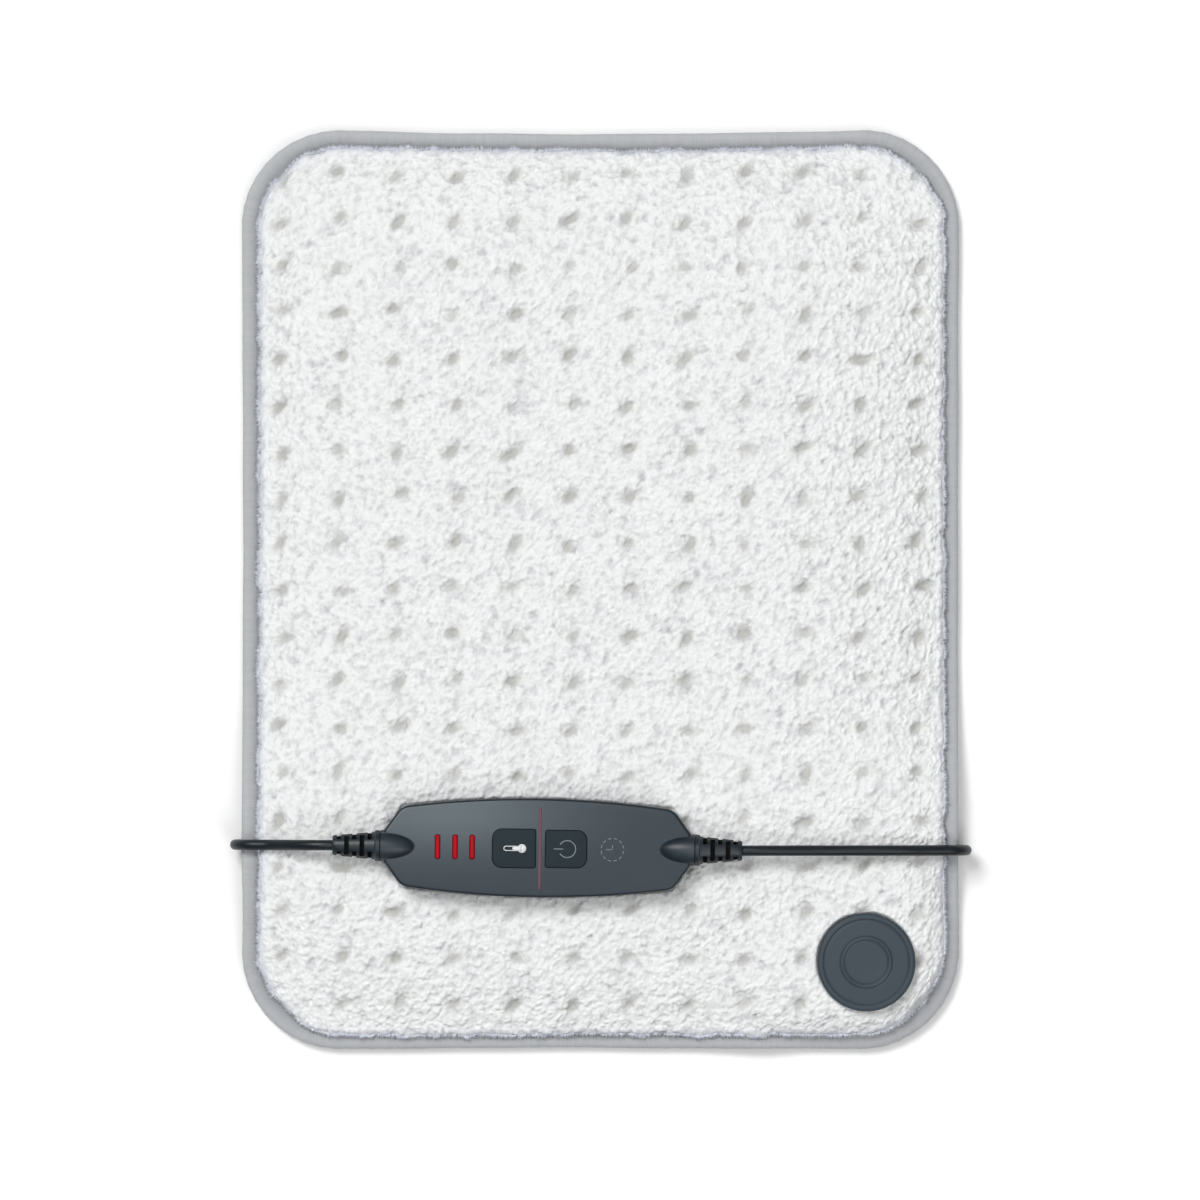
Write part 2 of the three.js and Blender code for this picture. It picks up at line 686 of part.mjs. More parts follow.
function frontCover() {
  const below = slab(() => -farAway / 4, level(frontCoverLow.seam, frontCoverLow.middle), gridX, gridY);
  const gripped = slab(level(frontCoverTop.seam, frontCoverTop.seam), () => farAway / 4, gridX, gridY);
  const pile = slab(() => -farAway / 8, pileFace, pileX, pileY, tuftBottom).intersect(padPrism(coverInset));
  const { x, y } = connectorPlace;
  const discPocket = post(x, y, discRadius + discPocketGap, discSeat - layerGap, farAway / 4, 24);
  return pile
    .subtract(below)
    .subtract(gripped.subtract(padPrism(bindingWidth + layerGap)))
    .subtract(prism(seatLoop, controllerSeat - layerGap, farAway / 4))
    .subtract(discPocket)
    .subtract(hubHole);
}

place(model, 'front_cover', frontCover(), plushWhite);

// The edge binding: a tape folded round the covers' edge, one section carried round the outline
function edgeBinding() {
  const inner = bindingTape + bindingFold;
  const section = [
    [bindingWidth, 0], [bindingRound, 0], [0, bindingRound], [0, bindingTop - bindingRound],
    [bindingRound, bindingTop], [bindingWidth, bindingTop], [bindingWidth, bindingTop - bindingTape],
    [inner, bindingTop - bindingTape], [inner, bindingTape], [bindingWidth, bindingTape],
  ];
  const lift = onGrid(floorLift);
  const ringAt = (inset, rise) => padOutline(inset).map(({ x, y }) => [x, y, lift(x, y) + rise]);
  const rings = section.map(([inset, rise]) => ringAt(inset, rise));
  const stations = rings[0].length;
  const index = [];
  for (let s = 0; s < stations; s += 1) {
    const next = (s + 1) % stations;
    for (let k = 0; k < section.length; k += 1) {
      const up = (k + 1) % section.length;
      const [a, b, c, d] = [k * stations + s, k * stations + next, up * stations + next, up * stations + s];
      index.push(a, b, c, a, c, d);
    }
  }
  const geometry = new THREE.BufferGeometry();
  geometry.setAttribute('position', new THREE.Float32BufferAttribute(rings.flat(2), 3));
  geometry.setIndex(index);
  return toSolid(geometry);
}

place(model, 'edge_binding', edgeBinding(), tapeGrey);

// The round connector: disc and hub above, base below, clamped through the pad by three screws
const connector = new THREE.Group();
connector.position.set(connectorPlace.x, connectorPlace.y, 0);
model.add(connector);
const hubLow = connectorBaseHeight + fitGap;
const connectorScrewTop = hubLow + connectorScrewReach;
const screwHole = connectorScrewRadius + fitGap;
const connectorScrewSpots = [0, 1, 2].map((k) => {
  const angle = Math.PI / 2 + (2 * Math.PI * k) / 3;
  return { x: connectorScrewCircle * Math.cos(angle), y: connectorScrewCircle * Math.sin(angle) };
});

function connectorDisc() {
  const top = discSeat + discThickness;
  const round = discEdgeRound * (1 - Math.SQRT1_2);
  const groove = (radius) => [
    [radius + discGroove, top], [radius, top - discGroove], [radius - discGroove, top],
  ];
  const profile = [
    [0, discSeat - hubCeiling], [hubCavityRadius, discSeat - hubCeiling], [hubCavityRadius, hubLow],
    [hubRadius, hubLow], [hubRadius, discSeat], [discRadius - discFoot, discSeat],
    [discRadius, discSeat + discFoot], [discRadius, top - discEdgeRound],
    [discRadius - round, top - round], [discRadius - discEdgeRound, top],
    ...groove(discRimRadius), ...discRingRadii.flatMap(groove), [0, top],
  ];
  let disc = turnedAlongZ(profile, 24);
  for (const { x, y } of connectorScrewSpots) {
    disc = disc.subtract(post(x, y, screwHole, hubLow - cutPast, connectorScrewTop + fitGap, 10));
  }
  return disc;
}

function connectorBase() {
  const rim = connectorBaseEdge;
  const axis = connectorBaseHeight / 2;
  const spoutEnd = connectorBaseRadius + connectorSpoutLength;
  const spoutRoot = connectorSpoutRoot - connectorBaseRadius;
  const body = turnedAlongZ([
    [0, 0], [connectorBaseRadius - rim, 0], [connectorBaseRadius, rim],
    [connectorBaseRadius, connectorBaseHeight - rim], [connectorBaseRadius - rim, connectorBaseHeight],
    [0, connectorBaseHeight],
  ], 24);
  const spout = turnedAlongX([
    [-spoutEnd, 0], [-spoutEnd, connectorSpoutRadius - connectorSpoutTaper],
    [spoutRoot, connectorSpoutRadius], [spoutRoot, 0],
  ], 14).translate([0, 0, axis]);
  let base = body.add(spout);
  for (const { x, y } of connectorScrewSpots) {
    base = base.subtract(post(x, y, screwHole, -cutPast, connectorBaseHeight + cutPast, 10));
    const headHole = connectorScrewHead.radius + fitGap;
    base = base.subtract(post(x, y, headHole, -cutPast, connectorScrewHead.high + fitGap, 16));
  }
  return base;
}

function screw(x, y, radius, head, top) {
  const profile = [
    [0, head.low], [head.radius, head.low], [head.radius, head.high], [radius, head.high],
    [radius, top], [0, top],
  ];
  return turnedAlongZ(profile, 10).translate([x, y, 0]);
}

place(connector, 'connector_disc', connectorDisc(), slateCase);
place(connector, 'connector_base', connectorBase(), slateCase);
connectorScrewSpots.forEach(({ x, y }, k) => {
  const body = screw(x, y, connectorScrewRadius, connectorScrewHead, connectorScrewTop);
  place(connector, `connector_screw_${k + 1}`, body, steel);
});
[-1, 1].forEach((side, k) => {
  const x = (side * bladeSpacing) / 2;
  const [halfX, halfY] = [bladeSize.x / 2, bladeSize.y / 2];
  const blade = block(x - halfX, x + halfX, -halfY, halfY, hubLow, hubLow + bladeSize.z);
  place(connector, `contact_blade_${k + 1}`, blade, brass);
});

// The controller: everything below is in its own frame, on the pad, turned a little
const controller = new THREE.Group();
controller.position.set(controllerPlace.x, controllerPlace.y, controllerSeat);
controller.rotation.z = controllerTurn;
model.add(controller);

const ceiling = caseHeight - caseWall;
const humpEnd = caseTip + humpProud;
const flangeInner = caseTip - caseWall - fitGap - bootFlangeThickness;
const boardLow = boardRest + fitGap;
const boardTop = boardLow + boardThickness;
const partLow = boardTop + fitGap;
const screwSpots = [[-1, -1], [1, -1], [1, 1], [-1, 1]].map(([sx, sy]) => ({
  x: sx * caseScrewPlace.x,
  y: sy * caseScrewPlace.y,
}));
const bossLow = casePostHeight + fitGap;
const caseScrewHead = { radius: caseScrewHeadRadius, low: fitGap, high: fitGap + caseScrewHeadHeight };
const caseScrewTop = ceiling - caseScrewTipGap;
const caseScrewHole = caseScrewRadius + fitGap;
const caseHeadHole = caseScrewHeadRadius + fitGap;

// The cord tunnels show as bullet humps: an ogive that sinks below the face towards the middle
function hump() {
  const steps = 6;
  const profile = [[humpEnd, 0], [humpEnd, humpRadius]];
  for (let k = 1; k <= steps; k += 1) {
    const along = k / steps;
    profile.push([humpEnd - humpLength * along, humpRadius * Math.sqrt(1 - along ** humpFullness)]);
  }
  return turnedAlongX(profile.reverse(), 18).translate([0, 0, partingHeight]);
}

function caseBody() {
  const settings = {
    depth: caseHeight - 2 * caseEdgeRound,
    bevelThickness: caseEdgeRound,
    bevelSize: caseEdgeRound,
    bevelOffset: -caseEdgeRound,
    bevelSegments: 2,
  };
  const outer = new THREE.ExtrudeGeometry(new THREE.Shape(caseLoop), settings).translate(0, 0, caseEdgeRound);
  const oneHump = hump();
  const cavity = prism(insetLoop(caseLoop, caseWall), caseWall, ceiling);
  const seat = flangeInner - fitGap;
  const neck = bootNeckRadius + fitGap;
  const pocket = bootFlangeRadius + fitGap;
  const tunnel = turnedAlongX([
    [seat, 0], [seat, pocket], [caseTip - caseWall, pocket], [caseTip - caseWall, neck],
    [humpEnd + cutPast, neck], [humpEnd + cutPast, 0],
  ], 16).translate([0, 0, partingHeight]);
  const tunnels = tunnel.add(mirroredInX(tunnel));
  return toSolid(outer).add(oneHump).add(mirroredInX(oneHump)).subtract(cavity).subtract(tunnels);
}

// A button's outline: large corners on the side away from the other button
function buttonLoop(button, largeSide, grow) {
  const halfX = button.width / 2 + grow;
  const halfY = button.height / 2 + grow;
  const loop = [];
  const corner = (sx, sy, start) => {
    const radius = (sx === largeSide ? buttonOuterCorner : buttonInnerCorner) + grow;
    for (let k = 0; k <= 4; k += 1) {
      const angle = start + (Math.PI / 2) * (k / 4);
      const x = button.x + sx * (halfX - radius) + radius * Math.cos(angle);
      const y = button.y + sy * (halfY - radius) + radius * Math.sin(angle);
      loop.push(new THREE.Vector2(x, y));
    }
  };
  corner(1, -1, -Math.PI / 2);
  corner(1, 1, 0);
  corner(-1, 1, Math.PI / 2);
  corner(-1, -1, Math.PI);
  return loop;
}

const temperatureButton = {
  ...temperatureButtonSize,
  x: buttonDivide - (buttonSpacing + temperatureButtonSize.width) / 2,
  y: buttonRow,
};
const powerButton = {
  ...powerButtonSize,
  x: buttonDivide + (buttonSpacing + powerButtonSize.width) / 2,
  y: buttonRow,
};
const buttons = [
  { name: 'temperature', button: temperatureButton, largeSide: -1 },
  { name: 'power', button: powerButton, largeSide: 1 },
];

function lightSlot(x, grow, z0, z1) {
  const halfX = lightWidth / 2 + grow;
  const halfY = lightLength / 2 + grow;
  return block(x - halfX, x + halfX, -halfY, halfY, z0, z1);
}

function topShell(body) {
  const upperHalf = block(-farAway, farAway, -farAway, farAway, partingHeight + fitGap / 2, farAway);
  const [faceLow, faceHigh] = [ceiling - cutPast, caseHeight + cutPast];
  let shell = body.intersect(upperHalf);
  for (const { button, largeSide } of buttons) {
    shell = shell.subtract(prism(buttonLoop(button, largeSide, fitGap), faceLow, faceHigh));
  }
  for (const x of lightPlaces) shell = shell.subtract(lightSlot(x, fitGap, faceLow, faceHigh));
  for (const { x, y } of screwSpots) {
    shell = shell.add(post(x, y, bossRadius, bossLow, ceiling + joinOverlap, 16));
    shell = shell.subtract(post(x, y, caseScrewHole, bossLow - cutPast, caseScrewTop + fitGap, 10));
  }
  return shell;
}

function bottomShell(body) {
  const lowerHalf = block(-farAway, farAway, -farAway, farAway, -cutPast, partingHeight - fitGap / 2);
  let shell = body.intersect(lowerHalf);
  for (const { x, y } of screwSpots) {
    shell = shell.add(post(x, y, casePostRadius, caseWall - joinOverlap, casePostHeight, 16));
    shell = shell.add(post(x / 2, y, boardPostRadius, caseWall - joinOverlap, boardRest, 12));
    shell = shell.subtract(post(x, y, caseScrewHole, -cutPast, casePostHeight + cutPast, 10));
    shell = shell.subtract(post(x, y, caseHeadHole, -cutPast, caseScrewHead.high + fitGap, 16));
  }
  return shell;
}

const caseSolid = caseBody();
place(controller, 'top_shell', topShell(caseSolid), slateCase);
place(controller, 'bottom_shell', bottomShell(caseSolid), slateCase);
screwSpots.forEach(({ x, y }, k) => {
  place(controller, `case_screw_${k + 1}`, screw(x, y, caseScrewRadius, caseScrewHead, caseScrewTop), steel);
});

// The circuit board, notched round the screw posts
function circuitBoard() {
  const [reach, end] = [caseHalfWidth, flangeInner - boardEndGap];
  const notch = casePostRadius + 2 * fitGap;
  let board = prism(insetLoop(caseLoop, caseWall + boardEdgeGap), boardLow, boardTop);
  board = board.intersect(block(-end, end, -reach, reach, boardLow - cutPast, boardTop + cutPast));
  for (const { x, y } of screwSpots) {
    board = board.subtract(post(x, y, notch, boardLow - cutPast, boardTop + cutPast, 16));
  }
  return board;
}

place(controller, 'circuit_board', circuitBoard(), boardGreen);

// A block that stands on the board
function onBoard(x, y, size) {
  const [halfX, halfY] = [size.x / 2, size.y / 2];
  return block(x - halfX, x + halfX, y - halfY, y + halfY, partLow, partLow + size.z);
}

// Each button is a plate with a flange behind the face and a stem over its key switch
const flangeHigh = ceiling - fitGap;
const flangeLow = flangeHigh - buttonFlangeThickness;
const plungerTop = flangeLow - buttonStemLength - fitGap;
const switchTop = plungerTop - plungerProud;

function buttonPlate(button, largeSide) {
  const edge = buttonEdge;
  const settings = {
    depth: caseHeight + buttonProud - flangeLow - 2 * edge,
    bevelThickness: edge,
    bevelSize: edge,
    bevelOffset: -edge,
    bevelSegments: 2,
  };
  const plate = new THREE.ExtrudeGeometry(new THREE.Shape(buttonLoop(button, largeSide, 0)), settings);
  const halfX = button.width / 2 + buttonFlange;
  const halfY = button.height / 2 + buttonFlange;
  const { x, y } = button;
  return toSolid(plate.translate(0, 0, flangeLow + edge))
    .add(block(x - halfX, x + halfX, y - halfY, y + halfY, flangeLow, flangeHigh))
    .add(post(x, y, buttonStemRadius, plungerTop + fitGap, flangeLow + joinOverlap, 14));
}

for (const { name, button, largeSide } of buttons) {
  const { x, y } = button;
  const plungerLow = switchTop - buttonTravel - 2 * fitGap;
  const wellLow = plungerLow - buttonTravel - fitGap;
  const well = post(x, y, plungerRadius + fitGap, wellLow, switchTop + cutPast, 14);
  const body = onBoard(x, y, { x: switchSize, y: switchSize, z: switchTop - partLow });
  place(controller, `${name}_button`, buttonPlate(button, largeSide), slateDark);
  place(controller, `${name}_switch`, body.subtract(well), chipBlack);
  place(controller, `${name}_plunger`, post(x, y, plungerRadius, plungerLow, plungerTop, 14), chipBlack);
}

// Three light bars on one strip behind the face, with a leg over each diode
function lightGuide() {
  const first = lightPlaces[0] - lightWidth / 2 - guideMargin.x;
  const last = lightPlaces[lightPlaces.length - 1] + lightWidth / 2 + guideMargin.x;
  const half = lightLength / 2 + guideMargin.y;
  const [legX, legY] = [guideLeg.x / 2, guideLeg.y / 2];
  const inside = flangeLow + joinOverlap;
  let guide = block(first, last, -half, half, flangeLow, flangeHigh);
  for (const x of lightPlaces) {
    guide = guide.add(lightSlot(x, 0, inside, caseHeight + lightProud));
    guide = guide.add(block(x - legX, x + legX, -legY, legY, partLow + diodeSize.z + fitGap, inside));
  }
  return guide;
}

place(controller, 'light_guide', lightGuide(), brightRed);
lightPlaces.forEach((x, k) => {
  place(controller, `light_diode_${k + 1}`, onBoard(x, 0, diodeSize), finish(0xf1ead2, 0.4));
});

// Other parts on the board: side by side, past the power button, each as tall as the case leaves room for
const headroom = ceiling - partLow;
const partsStart = powerButton.x + powerButton.width / 2 + buttonFlange + boardPartGap;

function standingPart(row, size) {
  return onBoard(partsStart + size.x / 2, row, size);
}

function lyingCan(row, length, headGap) {
  const radius = (headroom - headGap) / 2;
  const can = new THREE.CylinderGeometry(radius, radius, length, 14).rotateZ(Math.PI / 2);
  return toSolid(can.translate(partsStart + length / 2, row, partLow + radius));
}

place(controller, 'microcontroller', standingPart(microcontrollerRow, microcontrollerSize), chipBlack);
place(controller, 'triac', standingPart(triacRow, { ...triacSize, z: headroom - triacHeadGap }), chipBlack);
place(controller, 'capacitor', lyingCan(capacitorRow, capacitorLength, capacitorHeadGap), partBlue);
place(controller, 'fuse', lyingCan(fuseRow, fuseLength, fuseHeadGap), finish(0xd8d3c4, 0.3));

// Each lead's cores end in a terminal block near its end of the case
const terminalHeight = headroom - terminalHeadGap;
const terminalPlace = flangeInner - 2 * fitGap - coreLength - terminalSize.x / 2;
for (const { lead, side } of [{ lead: 'mains', side: -1 }, { lead: 'pad', side: 1 }]) {
  const terminal = onBoard(side * terminalPlace, 0, { ...terminalSize, z: terminalHeight });
  place(controller, `${lead}_terminal`, terminal, finish(0x5a7f55, 0.5));
  [-1, 1].forEach((row, k) => {
    const core = new THREE.CylinderGeometry(coreRadius, coreRadius, coreLength, 10).rotateZ(Math.PI / 2);
    const x = side * (flangeInner - fitGap - coreLength / 2);
    core.translate(x, (row * coreSpread) / 2, partLow + terminalHeight - coreRadius);
    place(controller, `${lead}_core_${k + 1}`, toSolid(core), row < 0 ? partBlue : finish(0x6b3f25, 0.5));
  });
}

// The boots: a flange inside the case, a neck through its end, and a tapered ribbed sleeve outside.
// The ribs are what is left between slots that are cut from the sides and from above and below in turn.
const bootEnd = humpEnd + fitGap + bootLength;

function boot() {
  const base = humpEnd + fitGap;
  const flangeOuter = flangeInner + bootFlangeThickness;
  const sleeve = turnedAlongX([
    [flangeInner, 0], [flangeInner, bootFlangeRadius], [flangeOuter, bootFlangeRadius],
    [flangeOuter, bootNeckRadius], [base, bootNeckRadius], [base, bootBaseRadius],
    [base + bootCollar, bootBaseRadius], [bootEnd - bootLip, bootTipRadius],
    [bootEnd, bootTipRadius - bootLipRound],
    [bootEnd, 0],
  ], 16);
  let body = sleeve;
  const reach = bootBaseRadius + cutPast;
  for (let k = 0; k < bootSlots; k += 1) {
    const sideways = base + bootCollar + bootSlotWidth / 2 + k * bootSlotPitch;
    const upright = sideways + bootSlotPitch / 2;
    const [halfSlot, halfWindow] = [bootSlotWidth / 2, bootWindowWidth / 2];
    for (const sign of [-1, 1]) {
      const [near, far] = [sign * bootCoreRadius, sign * reach].sort((a, b) => a - b);
      body = body.subtract(block(sideways - halfSlot, sideways + halfSlot, near, far, -reach, reach));
      if (k + 1 === bootSlots) continue;
      body = body.subtract(block(upright - halfWindow, upright + halfWindow, -reach, reach, near, far));
    }
  }
  return body.translate([0, 0, partingHeight]);
}

const padSideBoot = boot();
place(controller, 'pad_boot', padSideBoot, cordBlack);
place(controller, 'mains_boot', mirroredInX(padSideBoot), cordBlack);

// The leads. Each point is chosen by hand: [x, y, z] along the middle of the cord, which leaves its boot
// level, drops to the edge of the pad, turns under it and lies on the surface below.
const cordSides = 10;

function bootTip(side) {
  const tip = new THREE.Vector3(side * (bootEnd + fitGap), 0, partingHeight);
  tip.applyAxisAngle(new THREE.Vector3(0, 0, 1), controllerTurn);
  return tip.add(new THREE.Vector3(controllerPlace.x, controllerPlace.y, controllerSeat));
}

const spoutTip = connectorPlace.x - connectorBaseRadius - connectorSpoutLength - fitGap;
const mainsRoute = [
  [-122, -111, 33.8], [-128, -111, 32.2], [-134, -111, 29.1], [-139.5, -111, 25.5], [-144, -111, 22.8],
  [-149.4, -111, 21.4], [-154.15, -111, 20.13], [-157.63, -111, 16.65], [-158.9, -111, 11.9],
  [-157.63, -111, 7.15], [-154.15, -111, 3.67], [-149.4, -111, 2.4], [-136, -111, 2.4], [-119, -111, 2.4],
  [-101.5, -111, 2.4], [-82.37, -107.19, 2.4], [-66.14, -96.36, 2.4], [-55.31, -80.13, 2.4],
  [-51.5, -61, 2.4], [-51.5, -36, 2.4], [-51.5, -10, 2.5], [-51.5, 15, 2.9],
];
const padRoute = [
  [68, -113.4, 33.9], [76, -113.4, 33.2], [86, -113.4, 31.6], [98, -113.4, 29.7], [111, -113.4, 28.2],
  [124, -113.4, 27], [134, -113.4, 25.5], [142, -113.4, 23.2], [149.7, -113.4, 21.4],
  [154.45, -113.4, 20.13], [157.93, -113.4, 16.65], [159.2, -113.4, 11.9], [157.93, -113.4, 7.15],
  [154.45, -113.4, 3.67], [149.7, -113.4, 2.4], [136, -113.4, 2.4], [112, -113.4, 2.4], [86, -113.4, 2.4],
  [58, -113.4, 2.4], [30, -113.4, 2.4], [20.68, -115.25, 2.4], [12.78, -120.53, 2.4],
  [7.5, -128.43, 2.4], [5.65, -137.75, 2.4], [7.5, -147.07, 2.4], [12.78, -154.97, 2.4],
  [20.68, -160.25, 2.4], [30, -162.1, 2.4], [spoutTip - 38.3, connectorPlace.y, 2.5],
  [spoutTip - 18.3, connectorPlace.y, 2.9],
];
const toVectors = (route) => route.map(([x, y, z]) => new THREE.Vector3(x, y, z));

// The coil: one tube that spirals in on the lower layer, climbs where the spiral reverses, and spirals
// out again on the upper one. It starts and ends straight for a cord's diameter.
const stepsPerTurn = 24;

function coilRoute() {
  const steps = Math.round(coilTurns * stepsPerTurn);
  const stations = [];
  for (let k = 0; k <= steps; k += 1) {
    const turns = (coilTurns * k) / steps;
    const fromMiddle = turns - coilTurns / 2;
    const radius = coilRadius - coilPitch * (coilTurns / 2 - Math.abs(fromMiddle));
    const angle = Math.PI - 2 * Math.PI * turns;
    const height = lowerTurn + coilPitch * smooth(0.5 + fromMiddle * 2);
    const x = coilPlace.x + radius * Math.cos(angle);
    const y = coilPlace.y + radius * Math.sin(angle);
    stations.push(new THREE.Vector3(x, y, height));
  }
  const first = stations[0];
  const last = stations[steps];
  stations.unshift(new THREE.Vector3(first.x, first.y - cordDiameter, first.z));
  stations.push(new THREE.Vector3(last.x + cordDiameter, last.y, last.z));
  return stations;
}

// The least gap between turns, measured on the stations more than half a turn apart
function leastGap(stations) {
  let least = Infinity;
  for (let a = 0; a < stations.length; a += 1) {
    for (let b = a + stepsPerTurn / 2; b < stations.length; b += 1) {
      least = Math.min(least, stations[a].distanceTo(stations[b]));
    }
  }
  return least - cordDiameter;
}

const coilStations = coilRoute();
const coilStart = coilStations[0];
const coilEnd = coilStations[coilStations.length - 1];
console.log(`least gap of the coil to itself: ${leastGap(coilStations).toFixed(2)} mm`);
const mainsStations = [
  bootTip(-1),
  ...toVectors(mainsRoute),
  new THREE.Vector3(coilStart.x, coilStart.y - cordDiameter - fitGap, coilStart.z),
  new THREE.Vector3(coilStart.x, coilStart.y - fitGap, coilStart.z),
];
const padStations = [
  bootTip(1),
  ...toVectors(padRoute),
  new THREE.Vector3(spoutTip - cordDiameter, connectorPlace.y, connectorBaseHeight / 2),
  new THREE.Vector3(spoutTip, connectorPlace.y, connectorBaseHeight / 2),
];
const tailStations = [
  new THREE.Vector3(coilEnd.x + fitGap, coilEnd.y, coilEnd.z),
  new THREE.Vector3(coilEnd.x + cordDiameter, coilEnd.y, coilEnd.z),
  new THREE.Vector3((coilEnd.x + plugPlace.x) / 2, coilEnd.y, (coilEnd.z + plugAxis) / 2),
  new THREE.Vector3(plugPlace.x - cordDiameter, plugPlace.y, plugAxis),
  new THREE.Vector3(plugPlace.x - fitGap, plugPlace.y, plugAxis),
];
place(model, 'mains_lead', tube(mainsStations, cordDiameter, cordSides), cordBlack);
place(model, 'mains_lead_coil', tube(coilStations, cordDiameter, 6), cordBlack);
place(model, 'mains_lead_tail', tube(tailStations, cordDiameter, cordSides), cordBlack);
place(model, 'pad_lead', tube(padStations, cordDiameter, cordSides), cordBlack);

// The tie: a strap closed round the bundle of turns, on the side of the coil away from the plug
function coilTie() {
  const inner = coilRadius - (coilPitch * coilTurns) / 2;
  const near = coilPlace.y - coilRadius - coilPitch / 2 - cordDiameter / 2 - tieGap;
  const far = coilPlace.y - inner + coilPitch / 2 + cordDiameter / 2 + tieGap;
  const [left, right] = [coilPlace.x - tieWidth / 2, coilPlace.x + tieWidth / 2];
  const outside = block(left, right, near - tieThickness, far + tieThickness, 0, coilTop);
  const [low, high] = [tieThickness, coilTop - tieThickness];
  return outside.subtract(block(left - cutPast, right + cutPast, near, far, low, high));
}

place(model, 'coil_tie', coilTie(), cordBlack);

// The plug: a flat two-pin plug, lofted from a ribbed round relief to its wide face
function loft(sections) {
  const count = sections[0].length;
  const positions = sections.flat(2);
  const index = [];
  for (let s = 0; s + 1 < sections.length; s += 1) {
    for (let k = 0; k < count; k += 1) {
      const next = (k + 1) % count;
      const [a, b, c, d] = [s * count + k, s * count + next, (s + 1) * count + next, (s + 1) * count + k];
      index.push(a, b, c, a, c, d);
    }
  }
  const last = (sections.length - 1) * count;
  for (let k = 1; k + 1 < count; k += 1) {
    index.push(0, k + 1, k);
    index.push(last, last + k, last + k + 1);
  }
  const geometry = new THREE.BufferGeometry();
  geometry.setAttribute('position', new THREE.Float32BufferAttribute(positions, 3));
  geometry.setIndex(index);
  return toSolid(geometry);
}

// A rounded section across X: half sizes and an exponent from 2, an ellipse, up to boxier ones
function roundedSection(x, halfY, halfZ, exponent) {
  const sides = 16;
  const points = [];
  for (let k = 0; k < sides; k += 1) {
    const angle = (2 * Math.PI * (k + 0.5)) / sides;
    const [c, s] = [Math.cos(angle), Math.sin(angle)];
    const y = halfY * Math.sign(c) * Math.abs(c) ** (2 / exponent);
    const z = halfZ * Math.sign(s) * Math.abs(s) ** (2 / exponent);
    points.push([x, plugPlace.y + y, plugAxis + z]);
  }
  return points;
}

function plugBody() {
  const x0 = plugPlace.x;
  const x1 = x0 + plugReliefLength;
  const x2 = x1 + plugBodyLength;
  const [halfY, halfZ] = [plugWidth / 2, plugThickness / 2];
  const sections = [];
  const ribLength = plugReliefLength / plugRibs;
  for (let k = 0; k < plugRibs; k += 1) {
    const start = x0 + ribLength * k;
    const radius = cordDiameter / 2 + plugReliefWall + plugRibStep * k;
    const crest = radius + plugRibLip;
    const root = radius - 2 * plugRibLip;
    sections.push(roundedSection(start, radius, radius, 2));
    sections.push(roundedSection(start + ribLength - plugRibGroove, crest, crest, 2));
    sections.push(roundedSection(start + ribLength - plugRibGroove / 2, root, root, 2));
  }
  sections.push(roundedSection(x1, halfY * 0.42, halfZ * 0.8, 2.4));
  sections.push(roundedSection(x1 + plugBodyLength * 0.25, halfY * 0.62, halfZ * 0.92, 3));
  sections.push(roundedSection(x1 + plugBodyLength * 0.6, halfY * 0.86, halfZ, 3.6));
  sections.push(roundedSection(x1 + plugBodyLength * 0.78, halfY, halfZ, 4));
  sections.push(roundedSection(x2 - plugFaceRound, halfY, halfZ, 4));
  sections.push(roundedSection(x2, halfY - plugFaceRound, halfZ - plugFaceRound, 4));
  return loft(sections);
}

function plugPin(side, grow) {
  const face = plugPlace.x + plugReliefLength + plugBodyLength;
  const radius = plugPinDiameter / 2 + grow;
  const [root, tip] = [face - plugPinSeat - grow, face + plugPinLength];
  const pin = turnedAlongX([
    [root, 0], [root, radius], [tip - plugPinNose, radius], [tip, radius / 2], [tip, 0],
  ], 14);
  return pin.translate([0, plugPlace.y + (side * plugPinSpacing) / 2, plugAxis]);
}

place(model, 'plug_body', plugBody().subtract(plugPin(-1, fitGap)).subtract(plugPin(1, fitGap)), cordBlack);
place(model, 'plug_pin_1', plugPin(-1, 0), steel);
place(model, 'plug_pin_2', plugPin(1, 0), steel);

export default model;
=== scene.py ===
import math

import bpy
import numpy as np
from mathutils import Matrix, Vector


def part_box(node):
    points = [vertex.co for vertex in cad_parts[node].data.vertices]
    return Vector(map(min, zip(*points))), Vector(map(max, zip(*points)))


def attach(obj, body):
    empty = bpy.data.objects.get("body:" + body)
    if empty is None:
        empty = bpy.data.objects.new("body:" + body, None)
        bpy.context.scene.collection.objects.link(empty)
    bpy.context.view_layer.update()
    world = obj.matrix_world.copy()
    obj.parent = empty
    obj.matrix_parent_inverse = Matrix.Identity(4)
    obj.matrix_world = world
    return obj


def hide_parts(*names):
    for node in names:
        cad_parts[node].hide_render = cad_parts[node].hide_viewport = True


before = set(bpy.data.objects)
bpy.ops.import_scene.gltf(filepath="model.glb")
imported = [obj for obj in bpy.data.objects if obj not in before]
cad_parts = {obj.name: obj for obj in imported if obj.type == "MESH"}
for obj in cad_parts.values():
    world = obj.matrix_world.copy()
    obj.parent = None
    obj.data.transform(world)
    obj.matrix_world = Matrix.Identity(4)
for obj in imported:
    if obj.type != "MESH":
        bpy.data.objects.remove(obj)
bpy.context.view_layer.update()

# The view. The object is photographed from straight above and from far away, so nothing tapers, and the
# picture is a little wider than the pad is long.
picture_width = 0.5224
view_centre = (-0.0002, -0.0046)
camera_height = 10.0
focus_height = 0.0035
film_width = 36
sight = 3 * camera_height

lens = bpy.data.cameras.new("camera")
lens.sensor_width = film_width
lens.lens = film_width * (camera_height - focus_height) / picture_width
lens.clip_end = sight
camera = bpy.data.objects.new("camera", lens)
camera.location = (*view_centre, camera_height)
bpy.context.scene.collection.objects.link(camera)
bpy.context.scene.camera = camera
bpy.context.scene.view_settings.view_transform = "Standard"

